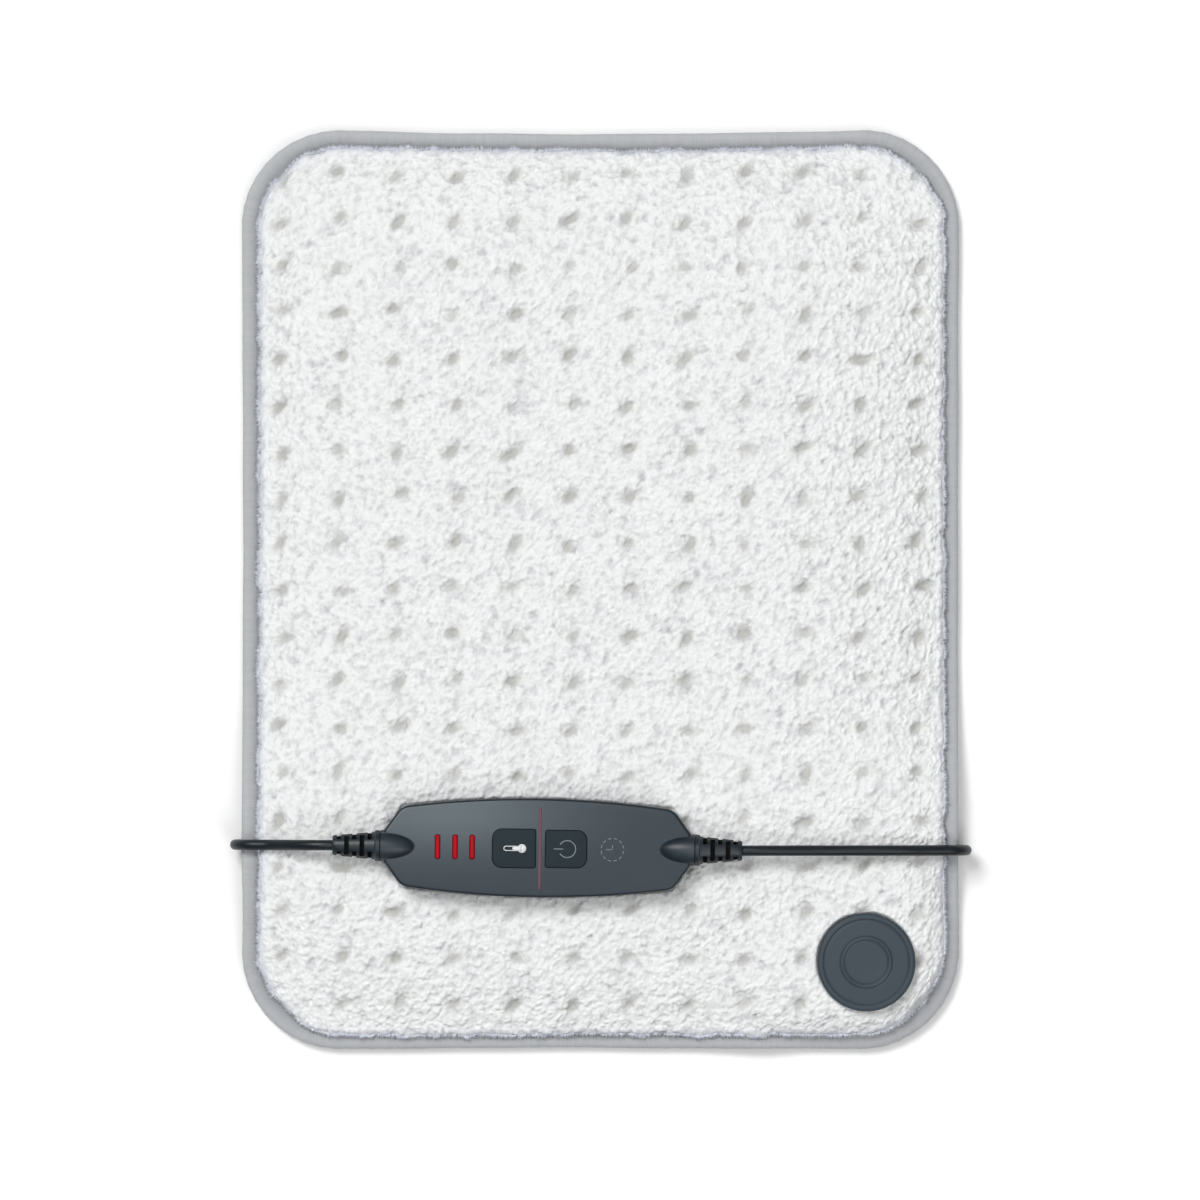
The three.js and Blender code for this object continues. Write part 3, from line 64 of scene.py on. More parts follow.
# The light. A plain white studio: an even glow from all round, a wide soft lamp straight above, a soft lamp
# high over the pad's top left corner that gives the shadows their side, and a weak one opposite to fill them.
glow_level = 0.1
lamps = (("key", (-6.5, 8.4, 16.9), 7.0, 2430.0), ("overhead", (0.0, 0.0, 12.0), 8.4, 340.0),
         ("fill", (4.8, -8.0, 13.0), 8.0, 680.0))

world = bpy.data.worlds.new("studio")
world.use_nodes = True
world.node_tree.nodes["Background"].inputs["Color"].default_value = (1, 1, 1, 1)
world.node_tree.nodes["Background"].inputs["Strength"].default_value = glow_level
bpy.context.scene.world = world
for name, place, size, power in lamps:
    lamp_data = bpy.data.lights.new(name, "AREA")
    lamp_data.size = size
    lamp_data.energy = power
    lamp = bpy.data.objects.new(name, lamp_data)
    lamp.location = place
    lamp.rotation_euler = (-math.atan2(math.hypot(*place[:2]), place[2]), 0, math.atan2(-place[0], place[1]))
    bpy.context.scene.collection.objects.link(lamp)

# The table. A plain white surface under the pad takes its soft shadow. It shows white to the camera and in
# reflections without sending more light onto the object.
class Field:
    """A socket of a material's nodes. Arithmetic on it adds Math nodes, and node() adds any other node."""

    def __init__(self, tree, socket=None):
        self.tree = tree
        self.socket = socket

    def node(self, kind, settings=None, inputs=None, output=0):
        made = self.tree.nodes.new(kind)
        for name, value in (settings or {}).items():
            setattr(made, name, value)
        for name, value in (inputs or {}).items():
            if isinstance(value, Field):
                self.tree.links.new(value.socket, made.inputs[name])
            else:
                made.inputs[name].default_value = value
        return Field(self.tree, made.outputs[output] if made.outputs else None)

    def math(self, operation, *values):
        return self.node("ShaderNodeMath", {"operation": operation}, dict(enumerate(values)))

    def __add__(self, other):
        return self.math("ADD", self, other)

    def __sub__(self, other):
        return self.math("SUBTRACT", self, other)

    def __rsub__(self, other):
        return self.math("SUBTRACT", other, self)

    def __mul__(self, other):
        return self.math("MULTIPLY", self, other)

    __radd__ = __add__
    __rmul__ = __mul__


table_size = 3.0
table_drop = 0.0002
table_white = (0.94, 0.94, 0.94, 1)
table_glow = 0.07

table_finish = bpy.data.materials.new("table")
table_finish.use_nodes = True
table_finish.node_tree.nodes.clear()
start = Field(table_finish.node_tree)
camera_ray, glossy_ray, through_ray = (start.node("ShaderNodeLightPath", output=f"Is {kind} Ray")
                                       for kind in ("Camera", "Glossy", "Transmission"))
seen = camera_ray + glossy_ray + through_ray
matt = start.node("ShaderNodeBsdfDiffuse", inputs={"Color": table_white})
shine = start.node("ShaderNodeEmission", inputs={"Strength": seen * table_glow})
both = start.node("ShaderNodeAddShader", inputs={0: matt, 1: shine})
start.node("ShaderNodeOutputMaterial", inputs={"Surface": both})

half_table = table_size / 2
table_mesh = bpy.data.meshes.new("table")
table_mesh.from_pydata([(half_table * x, half_table * y, -table_drop)
                        for x, y in ((-1, -1), (1, -1), (1, 1), (-1, 1))], [], [(0, 1, 2, 3)])
table = bpy.data.objects.new("table", table_mesh)
table_mesh.materials.append(table_finish)
bpy.context.scene.collection.objects.link(table)

# The leads. Round black-grey sheathed cord, satin, clamped in the controller's boots. The mains lead goes over
# the pad's left edge and back under it, where its length is wound into a flat two-layer coil; the pad lead
# goes over the right edge and back to the connector.
cord_diameter = 0.0046
cord_step = 0.002
cord_sides = 18
coil_middle = (-0.012, 0.0405)
coil_radius = 0.0395
coil_pitch = 0.0051
coil_turns = 8.25
coil_low = 0.0031
coil_steps_per_turn = 40
path_samples = 6
plastic_cloud, plastic_grain = 90.0, 2600.0
plastic_grain_depth = 0.00002
plastic_wander = 0.06

mains_start = np.array([
    (-114.4, -110.98, 33.9), (-122, -111, 33.8), (-128, -111, 32.2), (-134, -111, 29.1), (-139.5, -111, 25.5),
    (-144, -111, 22.8), (-149.4, -111, 21.4), (-154.15, -111, 20.13), (-157.63, -111, 16.65),
    (-158.9, -111, 11.9), (-157.63, -111, 7.15), (-154.15, -111, 3.67), (-149.4, -111, 2.4), (-136, -111, 2.4),
    (-119, -111, 2.4), (-101.5, -111, 2.4), (-82.37, -107.19, 2.4), (-66.14, -96.36, 2.4),
    (-55.31, -80.13, 2.4), (-51.5, -61, 2.4), (-51.5, -36, 2.4), (-51.5, -10, 2.5), (-51.5, 15, 2.9),
    (-51.5, 35.9, 3.1)]) / 1000
mains_end = np.array([(-2.8, 80, 8.2), (7.3, 80, 7.55), (17.4, 80, 6.9), (22, 80, 6.9)]) / 1000
pad_route = np.array([
    (59.6, -113.42, 33.9), (68, -113.4, 33.9), (76, -113.4, 33.2), (86, -113.4, 31.6), (98, -113.4, 29.7),
    (111, -113.4, 28.2), (124, -113.4, 27), (134, -113.4, 25.5), (142, -113.4, 23.2), (149.7, -113.4, 21.4),
    (154.45, -113.4, 20.13), (157.93, -113.4, 16.65), (159.2, -113.4, 11.9), (157.93, -113.4, 7.15),
    (154.45, -113.4, 3.67), (149.7, -113.4, 2.4), (136, -113.4, 2.4), (112, -113.4, 2.4), (86, -113.4, 2.4),
    (58, -113.4, 2.4), (30, -113.4, 2.4), (20.68, -115.25, 2.4), (12.78, -120.53, 2.4), (7.5, -128.43, 2.4),
    (5.65, -137.75, 2.4), (7.5, -147.07, 2.4), (12.78, -154.97, 2.4), (20.68, -160.25, 2.4),
    (30, -162.1, 2.4), (50, -162.1, 2.5), (70, -162.1, 2.9), (88.3, -162.1, 3.3)]) / 1000


def ease(share):
    """Runs from 0 to 1 as the share does, level at both ends, and stays there beyond them."""
    share = np.clip(share, 0, 1)
    return share * share * (3 - 2 * share)


def smooth_path(points, step):
    """A cubic through the points, whose slope at each one is the mean of the two chords beside it, the
    shorter chord counting more; it is then cut into equal steps of its length."""
    gaps = np.linalg.norm(np.diff(points, axis=0), axis=1)
    knots = np.concatenate(([0], np.cumsum(gaps)))
    chords = np.diff(points, axis=0) / gaps[:, None]
    share = (gaps[1:] / (gaps[:-1] + gaps[1:]))[:, None]
    slopes = np.concatenate((chords[:1], share * chords[:-1] + (1 - share) * chords[1:], chords[-1:]))
    place = np.linspace(0, knots[-1], int(path_samples * knots[-1] / step))
    k = np.clip(np.searchsorted(knots, place, side="right") - 1, 0, len(gaps) - 1)
    t = ((place - knots[k]) / gaps[k])[:, None]
    run = gaps[k][:, None]
    curve = ((2 * t**3 - 3 * t**2 + 1) * points[k] + (3 * t**2 - 2 * t**3) * points[k + 1]
             + (t**3 - 2 * t**2 + t) * run * slopes[k] + (t**3 - t**2) * run * slopes[k + 1])
    length = np.concatenate(([0], np.cumsum(np.linalg.norm(np.diff(curve, axis=0), axis=1))))
    even = np.linspace(0, length[-1], round(length[-1] / step) + 1)
    return np.stack([np.interp(even, length, curve[:, axis]) for axis in range(points.shape[1])], axis=1)


def tube(path, radius, sides):
    """Rings of a round cord: a circle stands square to the path at each of its points, and it starts on the
    side where the ring before it started, turned no more than the path turns."""
    along = np.gradient(path, axis=0)
    along /= np.linalg.norm(along, axis=1, keepdims=True)
    side = np.empty_like(along)
    last = np.cross(along[0], (0, 0, 1))
    for k, heading in enumerate(along):
        last = last - heading * (last @ heading)
        last = last / np.linalg.norm(last)
        side[k] = last
    angle = np.linspace(0, 2 * math.pi, sides, endpoint=False)[None, :, None]
    across = np.cross(along, side)
    return path[:, None] + radius * (np.cos(angle) * side[:, None] + np.sin(angle) * across[:, None])


def grid_faces(rows, columns, closed=False):
    """Quads over a grid of points kept row by row; a closed grid joins its last column to its first."""
    r, c = np.meshgrid(np.arange(rows - 1), np.arange(columns if closed else columns - 1), indexing="ij")
    beside = (c + 1) % columns
    corners = (r * columns + c, r * columns + beside, (r + 1) * columns + beside, (r + 1) * columns + c)
    return np.stack(corners, axis=-1).reshape(-1, 4)


def put(name, points, *faces):
    """Puts points and arrays of faces into a smooth mesh, as an object at the origin."""
    mesh = bpy.data.meshes.new(name)
    points = np.asarray(points, np.float32).reshape(-1, 3)
    corners = np.concatenate([part.ravel() for part in faces]).astype(np.int32)
    sizes = np.concatenate([np.full(len(part), part.shape[1]) for part in faces])
    mesh.vertices.add(len(points))
    mesh.vertices.foreach_set("co", points.ravel())
    mesh.loops.add(len(corners))
    mesh.loops.foreach_set("vertex_index", corners)
    mesh.polygons.add(len(sizes))
    mesh.polygons.foreach_set("loop_start", np.concatenate(([0], np.cumsum(sizes)[:-1])).astype(np.int32))
    mesh.update(calc_edges=True)
    mesh.validate()
    mesh.shade_smooth()
    made = bpy.data.objects.new(name, mesh)
    bpy.context.scene.collection.objects.link(made)
    return made


def barrel(name, *solids):
    """Rings of points joined one to the next, each end closed by a fan to the end ring's middle. Several such
    solids make one object."""
    points, quads, fans, first = [], [], [], 0
    for rings in solids:
        rings = np.asarray(rings, float)
        rows, columns = rings.shape[:2]
        k = np.arange(columns)
        after = (k + 1) % columns
        top = (rows - 1) * columns
        low = np.stack((np.full(columns, rows * columns), after, k), axis=1)
        high = np.stack((np.full(columns, rows * columns + 1), top + k, top + after), axis=1)
        points += [rings.reshape(-1, 3), rings[[0, -1]].mean(axis=1)]
        quads.append(first + grid_faces(rows, columns, closed=True))
        fans += [first + low, first + high]
        first += rows * columns + 2
    return put(name, np.concatenate(points), *quads, *fans)


def paint(red, green, blue):
    """A colour given as 0 to 255 on a screen, as the shader's linear colour."""
    screen = np.array((red, green, blue)) / 255
    linear = np.where(screen <= 0.04045, screen / 12.92, ((screen + 0.055) / 1.055) ** 2.4)
    return (*linear.tolist(), 1.0)


def finish(name, **steady):
    """A material with one Principled shader, whose steady values are set on its own sockets."""
    made = bpy.data.materials.new(name)
    made.use_nodes = True
    shader = made.node_tree.nodes["Principled BSDF"]
    for socket, value in steady.items():
        shader.inputs[socket.replace("_", " ")].default_value = value
    return made, Field(made.node_tree)


def feed(made, **fields):
    """Links fields to the sockets of a material's shader."""
    shader = made.node_tree.nodes["Principled BSDF"]
    for socket, field in fields.items():
        made.node_tree.links.new(field.socket, shader.inputs[socket.replace("_", " ")])


def noise(start, scale, detail=2.0):
    """Cloudy values from 0 to 1 through the piece's own space."""
    place = start.node("ShaderNodeTexCoord", output="Object")
    return start.node("ShaderNodeTexNoise", inputs={"Vector": place, "Scale": scale, "Detail": detail})


def bump(start, height, depth, strength=1.0):
    """A normal tilted by a height field that stands for this depth."""
    return start.node("ShaderNodeBump", inputs={"Height": height, "Distance": depth, "Strength": strength})


def mix(start, share, first, second):
    """The colour that lies this share of the way from the first to the second; each is a field, or a colour
    given as 0 to 255 on a screen."""
    first, second = (colour if isinstance(colour, Field) else paint(*colour) for colour in (first, second))
    return start.node("ShaderNodeMix", {"data_type": "RGBA"}, {0: share, 6: first, 7: second}, output=2)


def moulded(name, dark, light, roughness, shine=0.5):
    """A moulded plastic: two near colours clouded together, a roughness that wanders, and a fine grain."""
    made, start = finish(name, Specular_IOR_Level=shine)
    cloud = noise(start, plastic_cloud, detail=3.0)
    feed(made, Base_Color=mix(start, cloud, dark, light),
         Roughness=roughness - plastic_wander + 2 * plastic_wander * cloud,
         Normal=bump(start, noise(start, plastic_grain), plastic_grain_depth))
    return made


def dress(piece, material, replaced=(), body="pad"):
    """Gives a piece its material and slot, the body it rides and the CAD nodes it stands for."""
    piece.data.materials.clear()
    piece.data.materials.append(material)
    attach(piece, body)
    if replaced:
        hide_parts(*replaced)
    return piece


turns = np.linspace(0, coil_turns, round(coil_turns * coil_steps_per_turn) + 1)
coil_angle = math.pi - 2 * math.pi * turns
wound = coil_radius - coil_pitch * (coil_turns / 2 - abs(turns - coil_turns / 2))
coil = np.stack((coil_middle[0] + wound * np.cos(coil_angle), coil_middle[1] + wound * np.sin(coil_angle),
                 coil_low + coil_pitch * ease(0.5 + 2 * (turns - coil_turns / 2))), axis=1)
cord_finish = moulded("cord_sheath", (20, 28, 34), (26, 34, 40), roughness=0.38, shine=0.34)

mains_path = smooth_path(np.concatenate((mains_start, coil[1:], mains_end)), cord_step)
mains_lead = barrel("mains_cord", tube(mains_path, cord_diameter / 2, cord_sides))
dress(mains_lead, cord_finish, ("mains_lead", "mains_lead_coil", "mains_lead_tail"))

pad_path = smooth_path(pad_route, cord_step)
pad_lead = barrel("pad_cord", tube(pad_path, cord_diameter / 2, cord_sides))
dress(pad_lead, cord_finish, ("pad_lead",))

# The mains plug and the coil's tie. The plug is one moulding of the cord's own plastic over two round steel
# pins, and a strap of the same plastic holds the coil flat; all of it lies under the pad.
def coat(material, *nodes):
    """Gives CAD nodes a material."""
    for name in nodes:
        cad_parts[name].data.materials.clear()
        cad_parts[name].data.materials.append(material)


def clouded(name, dark, light, scale, detail, roughness, wander, relief, **steady):
    """A finish whose colour, roughness and fine relief all follow one cloud."""
    made, start = finish(name, **steady)
    cloud = noise(start, scale, detail)
    feed(made, Base_Color=mix(start, cloud, dark, light), Roughness=roughness + wander * cloud,
         Normal=bump(start, cloud, relief))
    return made


steel_finish = clouded("brushed_steel", (176, 178, 181), (205, 207, 209), scale=1400.0, detail=3.0,
                       roughness=0.26, wander=0.14, relief=0.00001, Metallic=1.0)
coat(cord_finish, "plug_body", "coil_tie")
coat(steel_finish, "plug_pin_1", "plug_pin_2")

# The pad's inner layers. Two needled felt pads, and between them the woven carrier that the heating wire is
# sewn to; they are caught in the seam all round and lie in a shallow dome over the coil.
half_width, half_length = (float(value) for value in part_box("edge_binding")[1][:2])
corner_radius = 0.0425
side_draw, top_draw, bottom_draw = 0.0003, 0.0018, 0.0004
connector_place = [(low + high) / 2 for low, high in zip(*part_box("connector_disc"))][:2]
connector_clear = 0.0145
connector_lift = 0.0059
droop_reach = 0.017
droop_end, droop_fade = 0.0635, 0.022
corner_steps, side_steps = 30, 120
least_area, share_slack, height_parts = 1e-11, 1e-4, 60
map_step, map_blur, map_margin = 0.003, 3.0, 0.0005
least_distance, least_weight = 1e-9, 1e-6
last_cell = 1.001
layer_grid = (46, 60)


def rim_side(reach, run, draw, inset, corner_inset, count):
    """One side of the pad's outline with half of each corner beside it, as places along and across: a
    quarter turn's half, a side that is drawn in by a parabola, and another half, in equal steps. The inset
    runs from its value on the side to the one at the corner's middle."""
    straight = run - corner_radius
    turn = np.linspace(-math.pi / 4, 0, corner_steps)
    radius = corner_radius - inset - (corner_inset - inset) * ease(-4 * turn / math.pi)
    arc_along = -straight + radius * np.sin(turn)
    arc_across = reach - corner_radius + radius * np.cos(turn)
    side = np.linspace(-straight, straight, side_steps)[1:-1]
    drawn = reach - inset - draw * (1 - (side / straight) ** 2)
    along = np.concatenate((arc_along, side, -arc_along[::-1]))
    across = np.concatenate((arc_across, drawn, arc_across[::-1]))
    length = np.concatenate(([0], np.cumsum(np.hypot(np.diff(along), np.diff(across)))))
    even = np.linspace(0, length[-1], count)
    return np.interp(even, length, along), np.interp(even, length, across)


def pad_grid(insets, corner_inset, columns, rows):
    """A grid that fills the pad's outline, drawn in by its own distance on the right, top, left and bottom:
    each point is the sum of the places on the two pairs of sides that its row and its column give, less the
    place that the four corners alone would give."""
    right, top, left, bottom = insets
    right_y, right_x = rim_side(half_width, half_length, side_draw, right, corner_inset, rows)
    left_y, left_x = rim_side(half_width, half_length, side_draw, left, corner_inset, rows)
    top_x, top_y = rim_side(half_length, half_width, top_draw, top, corner_inset, columns)
    low_x, low_y = rim_side(half_length, half_width, bottom_draw, bottom, corner_inset, columns)
    s = np.linspace(0, 1, columns)[None, :]
    t = np.linspace(0, 1, rows)[:, None]
    x = (s * (right_x - right_x[-1])[:, None] - (1 - s) * (left_x - left_x[-1])[:, None]
         + t * top_x + (1 - t) * low_x)
    y = (t * (top_y - top_y[-1]) - (1 - t) * (low_y - low_y[-1])
         + s * right_y[:, None] + (1 - s) * left_y[:, None])
    return x, y


def droop(x, y):
    """How far the pad's edge hangs below the layers that the connector lifts: the connector's lift, faded out
    round it and from the edge inwards."""
    past_x = np.maximum(abs(x) - half_width + corner_radius, 0)
    past_y = np.maximum(abs(y) - half_length + corner_radius, 0)
    from_edge = corner_radius - np.hypot(past_x, past_y)
    away = np.hypot(x - connector_place[0], y - connector_place[1])
    return connector_lift * ease((droop_end - away) / droop_fade) * (1 - ease(from_edge / droop_reach))


def cad_height(node, x, y, highest):
    """The height of a CAD node over each point: seen from above, each triangle gives the point's share of its
    corners, and the highest or the lowest triangle that holds the point counts."""
    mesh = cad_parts[node].data
    mesh.calc_loop_triangles()
    place = np.empty(3 * len(mesh.vertices), np.float32)
    mesh.vertices.foreach_get("co", place)
    corner = np.empty(3 * len(mesh.loop_triangles), np.int32)
    mesh.loop_triangles.foreach_get("vertices", corner)
    first, second, third = place.reshape(-1, 3)[corner.reshape(-1, 3)].astype(float).transpose(1, 2, 0)
    one, two = second - first, third - first
    double_area = one[0] * two[1] - one[1] * two[0]
    kept = abs(double_area) > least_area
    first, one, two, double_area = first[:, kept], one[:, kept], two[:, kept], double_area[kept]
    none = -np.inf if highest else np.inf
    found = []
    for part_x, part_y in zip(*(np.array_split(places.ravel(), height_parts) for places in (x, y))):
        from_x = part_x[:, None] - first[0]
        from_y = part_y[:, None] - first[1]
        share_one = (from_x * two[1] - from_y * two[0]) / double_area
        share_two = (one[0] * from_y - one[1] * from_x) / double_area
        total = share_one + share_two
        inside = (share_one > -share_slack) & (share_two > -share_slack) & (total < 1 + share_slack)
        height = np.where(inside, first[2] + share_one * one[2] + share_two * two[2], none)
        found.append(height.max(axis=1) if highest else height.min(axis=1))
    return np.concatenate(found).reshape(x.shape)


def blurred(values, spread):
    """Values on a grid, each the bell-weighted mean of those round it."""
    reach = int(3 * spread)
    weights = np.exp(-0.5 * (np.arange(-reach, reach + 1) / spread) ** 2)
    for axis in (0, 1):
        padded = np.pad(values, [(reach, reach) if k == axis else (0, 0) for k in (0, 1)], mode="edge")
        count = values.shape[axis]
        values = sum(w * np.take(padded, np.arange(k, k + count), axis) for k, w in enumerate(weights))
        values = values / weights.sum()
    return values


def height_map(node, highest, inset):
    """A CAD node's height on an even grid over the pad, smoothed; a point outside the node or in the
    connector's hole is moved to the node first, and one that still has no height takes its neighbours'."""
    x = np.arange(-half_width, half_width + map_step, map_step)[None, :]
    y = np.arange(-half_length, half_length + map_step, map_step)[:, None]
    x, y = np.broadcast_arrays(x, y)
    core_x = np.clip(x, corner_radius - half_width, half_width - corner_radius)
    core_y = np.clip(y, corner_radius - half_length, half_length - corner_radius)
    out = np.hypot(x - core_x, y - core_y)
    pull = np.minimum(1, (corner_radius - inset - top_draw) / np.maximum(out, least_distance))
    x, y = core_x + pull * (x - core_x), core_y + pull * (y - core_y)
    off_x, off_y = x - connector_place[0], y - connector_place[1]
    push = np.maximum(1, connector_clear / np.maximum(np.hypot(off_x, off_y), least_distance))
    x, y = connector_place[0] + push * off_x, connector_place[1] + push * off_y
    heights = cad_height(node, x, y, highest)
    known = np.isfinite(heights)
    weight = blurred(known.astype(float), map_blur)
    smooth = blurred(np.where(known, heights, 0), map_blur) / np.maximum(weight, least_weight)
    return np.where(weight > least_weight, smooth, heights[known].mean())


def read_map(heights, x, y):
    """The height at any point, in proportion between the four grid points round it."""
    across = np.clip((x + half_width) / map_step, 0, heights.shape[1] - last_cell)
    up = np.clip((y + half_length) / map_step, 0, heights.shape[0] - last_cell)
    c, r = across.astype(int), up.astype(int)
    u, v = across - c, up - r
    low = heights[r, c] * (1 - u) + heights[r, c + 1] * u
    high = heights[r + 1, c] * (1 - u) + heights[r + 1, c + 1] * u
    return low * (1 - v) + high * v - droop(x, y)


def rim_of(rows, columns):
    """The numbers of a grid's border points, once round, anticlockwise from its first point."""
    number = np.arange(rows * columns).reshape(rows, columns)
    return np.concatenate((number[0, :-1], number[:-1, -1], number[-1, :0:-1], number[:0:-1, 0]))


def slab(name, x, y, low, high):
    """Two grids of points over each other, joined round their borders."""
    rows, columns = x.shape
    face = grid_faces(rows, columns)
    rim = rim_of(rows, columns)
    after = np.roll(rim, -1)
    above = rows * columns
    wall = np.stack((rim, after, above + after, above + rim), axis=1)
    points = np.concatenate((np.stack((x, y, low), axis=-1).reshape(-1, 3),
                             np.stack((x, y, high), axis=-1).reshape(-1, 3)))
    return put(name, points, face[:, ::-1], above + face, wall)


def layer(name, node, columns, rows):
    """A layer of the pad: the CAD node's lower and upper faces, smoothed, over its own outline."""
    inset = half_width - float(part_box(node)[1][0])
    x, y = pad_grid((inset,) * 4, inset, columns, rows)
    low, high = (read_map(height_map(node, highest, inset + map_margin), x, y) for highest in (False, True))
    return slab(name, x, y, low, high)


felt_finish = clouded("needled_felt", (214, 212, 206), (240, 239, 234), scale=900.0, detail=6.0, roughness=0.85,
                      wander=0.1, relief=0.0003, Sheen_Weight=0.3)
carrier_finish = clouded("carrier_scrim", (205, 204, 198), (232, 231, 226), scale=2400.0, detail=3.0,
                         roughness=0.8, wander=0.1, relief=0.0001)
wire_finish = moulded("wire_sheath", (150, 120, 108), (176, 146, 132), roughness=0.45)
for node in ("rear_padding", "front_padding"):
    piece = dress(layer(f"{node}_felt", node, *layer_grid), felt_finish, (node,))
carrier = dress(layer("heating_carrier_cloth", "heating_carrier", *layer_grid), carrier_finish,
                ("heating_carrier",))
coat(wire_finish, "heating_wire")
coat(cord_finish, "overheat_cutout")

# The rear cover. A thin short-pile fleece of the same white as the front, cut to the pad's outline. It is the
# lowest layer: it lies over the coil and the plug, and its edge is sewn into the binding all round.
rear_grid = (92, 120)
fleece_finish = clouded("rear_fleece", (220, 221, 222), (240, 241, 241), scale=1100.0, detail=5.0, roughness=0.85,
                        wander=0.1, relief=0.0004, Sheen_Weight=0.4, Sheen_Roughness=0.6)
rear = dress(layer("rear_cover_fleece", "rear_cover", *rear_grid), fleece_finish, ("rear_cover",))

# The front cover. A deep white plush whose pile stands in small soft lumps. It is welded to the layers under
# it at a grid of points, where it is drawn into small slanting hollows, and its edge rolls out over the
# binding. The controller and the connector press into it.
plush_columns, plush_rows = 590, 760
plush_insets, plush_corner_inset = (0.0067, 0.0079, 0.0077, 0.0062), 0.0086
plush_rise, rim_sink, rim_step, roll_power = 0.0022, 0.0008, 0.001, 2.2
cover_map_inset, edge_map_inset = 0.0022, 0.004
pile_depth, least_pile = 0.0034, 0.0005
back_inset = 0.004
weld_columns, weld_rows = weld_grid = (12, 19)
weld_pitch = (0.0252, 0.02006)
weld_drop, weld_shift = 0.0009, 0.0016
weld_seed, wander_seed, drift_seed, fibre_seed = 11, 12, 5, 9
hollow_depth = 0.0011
hollow_length, hollow_width = 0.004, 0.0024
hollow_slant, slant_spread = math.radians(42), 0.3
hollow_sizes, hollow_forces, hollow_power = (0.7, 1.2), (0.6, 1.1), 1.3
rim_light_width = 0.004
rim_wander, wander_reach, wander_size = 0.0011, 0.006, 0.005
cloth_columns, cloth_rows, cloth_frames = 62, 80, 20
cloth_mass, cloth_stiffness, cloth_bending, cloth_pressure = 0.2, 12, 0.3, 2.5
swell_limit = 0.002
lump_slant, lump_stretch = math.radians(50), 1.2
lump_reach, lump_floor = 0.65, -0.4
drift_size, drift_reach = 0.009, (0.0011, -0.0008, 0.0005)
cell_sharpness, cell_repeat = 6.0, (64, 64, 16)
fibre_depth, fibre_blur = 0.0002, 0.6
hollow_calm, rim_calm, droop_calm = 0.8, 0.6, 0.45
press_gap, press_slope, press_inside, press_texture = 0.0004, 2.2, 0.0004, 0.35
press_half, press_bow, press_slant = 0.0213, 0.0035, (0.815, 0.58)
disc_thickness = 0.0046
case_low, case_high = (np.array(corner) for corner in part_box("bottom_shell"))
case_turn = math.radians(-0.8)
case_middle = ((case_low + case_high) / 2)[:2]
case_tip = 0.0665
case_shoulder, case_shoulder_half = 0.0588, 0.0177
# Each kind of lump: its size, depth, least share of that depth, spread of the share, share of the drift and seed.
lump_kinds = ((0.0026, 0.00116, 0.55, 0.6, 1.0, 7), (0.0014, 0.00066, 0.5, 1.0, 0.6, 8))


def near_case(x, y):
    """How far a point lies outside the controller's case: a box with cut ends, turned with the case."""
    across, up = x - case_middle[0], y - case_middle[1]
    along = abs(across * math.cos(case_turn) + up * math.sin(case_turn))
    aside = abs(up * math.cos(case_turn) - across * math.sin(case_turn))
    side = aside - press_half + press_bow * (along / case_shoulder) ** 2
    slope = (along - case_shoulder) * press_slant[0] + (aside - case_shoulder_half) * press_slant[1]
    return np.maximum(np.maximum(side, slope), along - case_tip)


def cells(points, size, seed):
    """Points scattered one to a cell of a cubic grid; gives the square of each point's distance to the nearest
    of them, in cells, and that one's own random share, both eased from one to the next."""
    chance = np.random.default_rng(seed).random((4, *cell_repeat))
    scaled = points / size
    home = np.floor(scaled).astype(int)
    total = np.zeros(points.shape[:-1])
    share = np.zeros(points.shape[:-1])
    for step in np.ndindex(3, 3, 3):
        cell = home + np.array(step) - 1
        key = tuple(np.moveaxis(cell % cell_repeat, -1, 0))
        offset = cell + np.stack([chance[axis][key] for axis in range(3)], axis=-1) - scaled
        weight = np.exp(-cell_sharpness * (offset ** 2).sum(axis=-1))
        total += weight
        share += weight * chance[3][key]
    return np.maximum(-np.log(total) / cell_sharpness, 0), share / total


def enlarged(values, rows, columns):
    """A coarse grid of values read at a finer one's places, by smooth steps between its points."""
    up = np.linspace(0, values.shape[0] - last_cell, rows)
    across = np.linspace(0, values.shape[1] - last_cell, columns)
    for axis, place in ((0, up), (1, across)):
        k = place.astype(int)
        last = values.shape[axis] - 1
        t = (place - k).reshape([-1 if a == axis else 1 for a in range(values.ndim)])
        before, here, after, beyond = (np.take(values, np.clip(k + d, 0, last), axis) for d in (-1, 0, 1, 2))
        values = here + 0.5 * t * (after - before + t * (2 * before - 5 * here + 4 * after - beyond
                                                         + t * (3 * (here - after) + beyond - before)))
    return values


cover_map = height_map("front_cover", False, cover_map_inset)
edge_map = height_map("edge_binding", True, edge_map_inset)


def cover_height(x, y, from_rim):
    """The plush without its hollows: the cover's back, plus the pile, and a quarter round down to the edge."""
    full = read_map(cover_map, x, y) + pile_depth
    edge = np.minimum(read_map(edge_map, x, y) - rim_sink, full - rim_step)
    share = np.clip(from_rim / plush_rise, 0, 1)
    return edge + (full - edge) * np.sqrt(1 - (1 - share) ** roll_power)


weld_random = np.random.default_rng(weld_seed)
weld_x = (np.arange(weld_columns) - (weld_columns - 1) / 2)[:, None] * weld_pitch[0]
weld_y = (np.arange(weld_rows) - (weld_rows - 1) / 2)[None, :] * weld_pitch[1]
weld_x = weld_x + weld_shift * weld_random.uniform(-1, 1, weld_grid)
weld_y = weld_y + weld_shift * weld_random.uniform(-1, 1, weld_grid)
weld_turn = hollow_slant + weld_random.normal(0, slant_spread, weld_grid)
weld_size = weld_random.uniform(*hollow_sizes, weld_grid)
weld_force = weld_random.uniform(*hollow_forces, weld_grid)


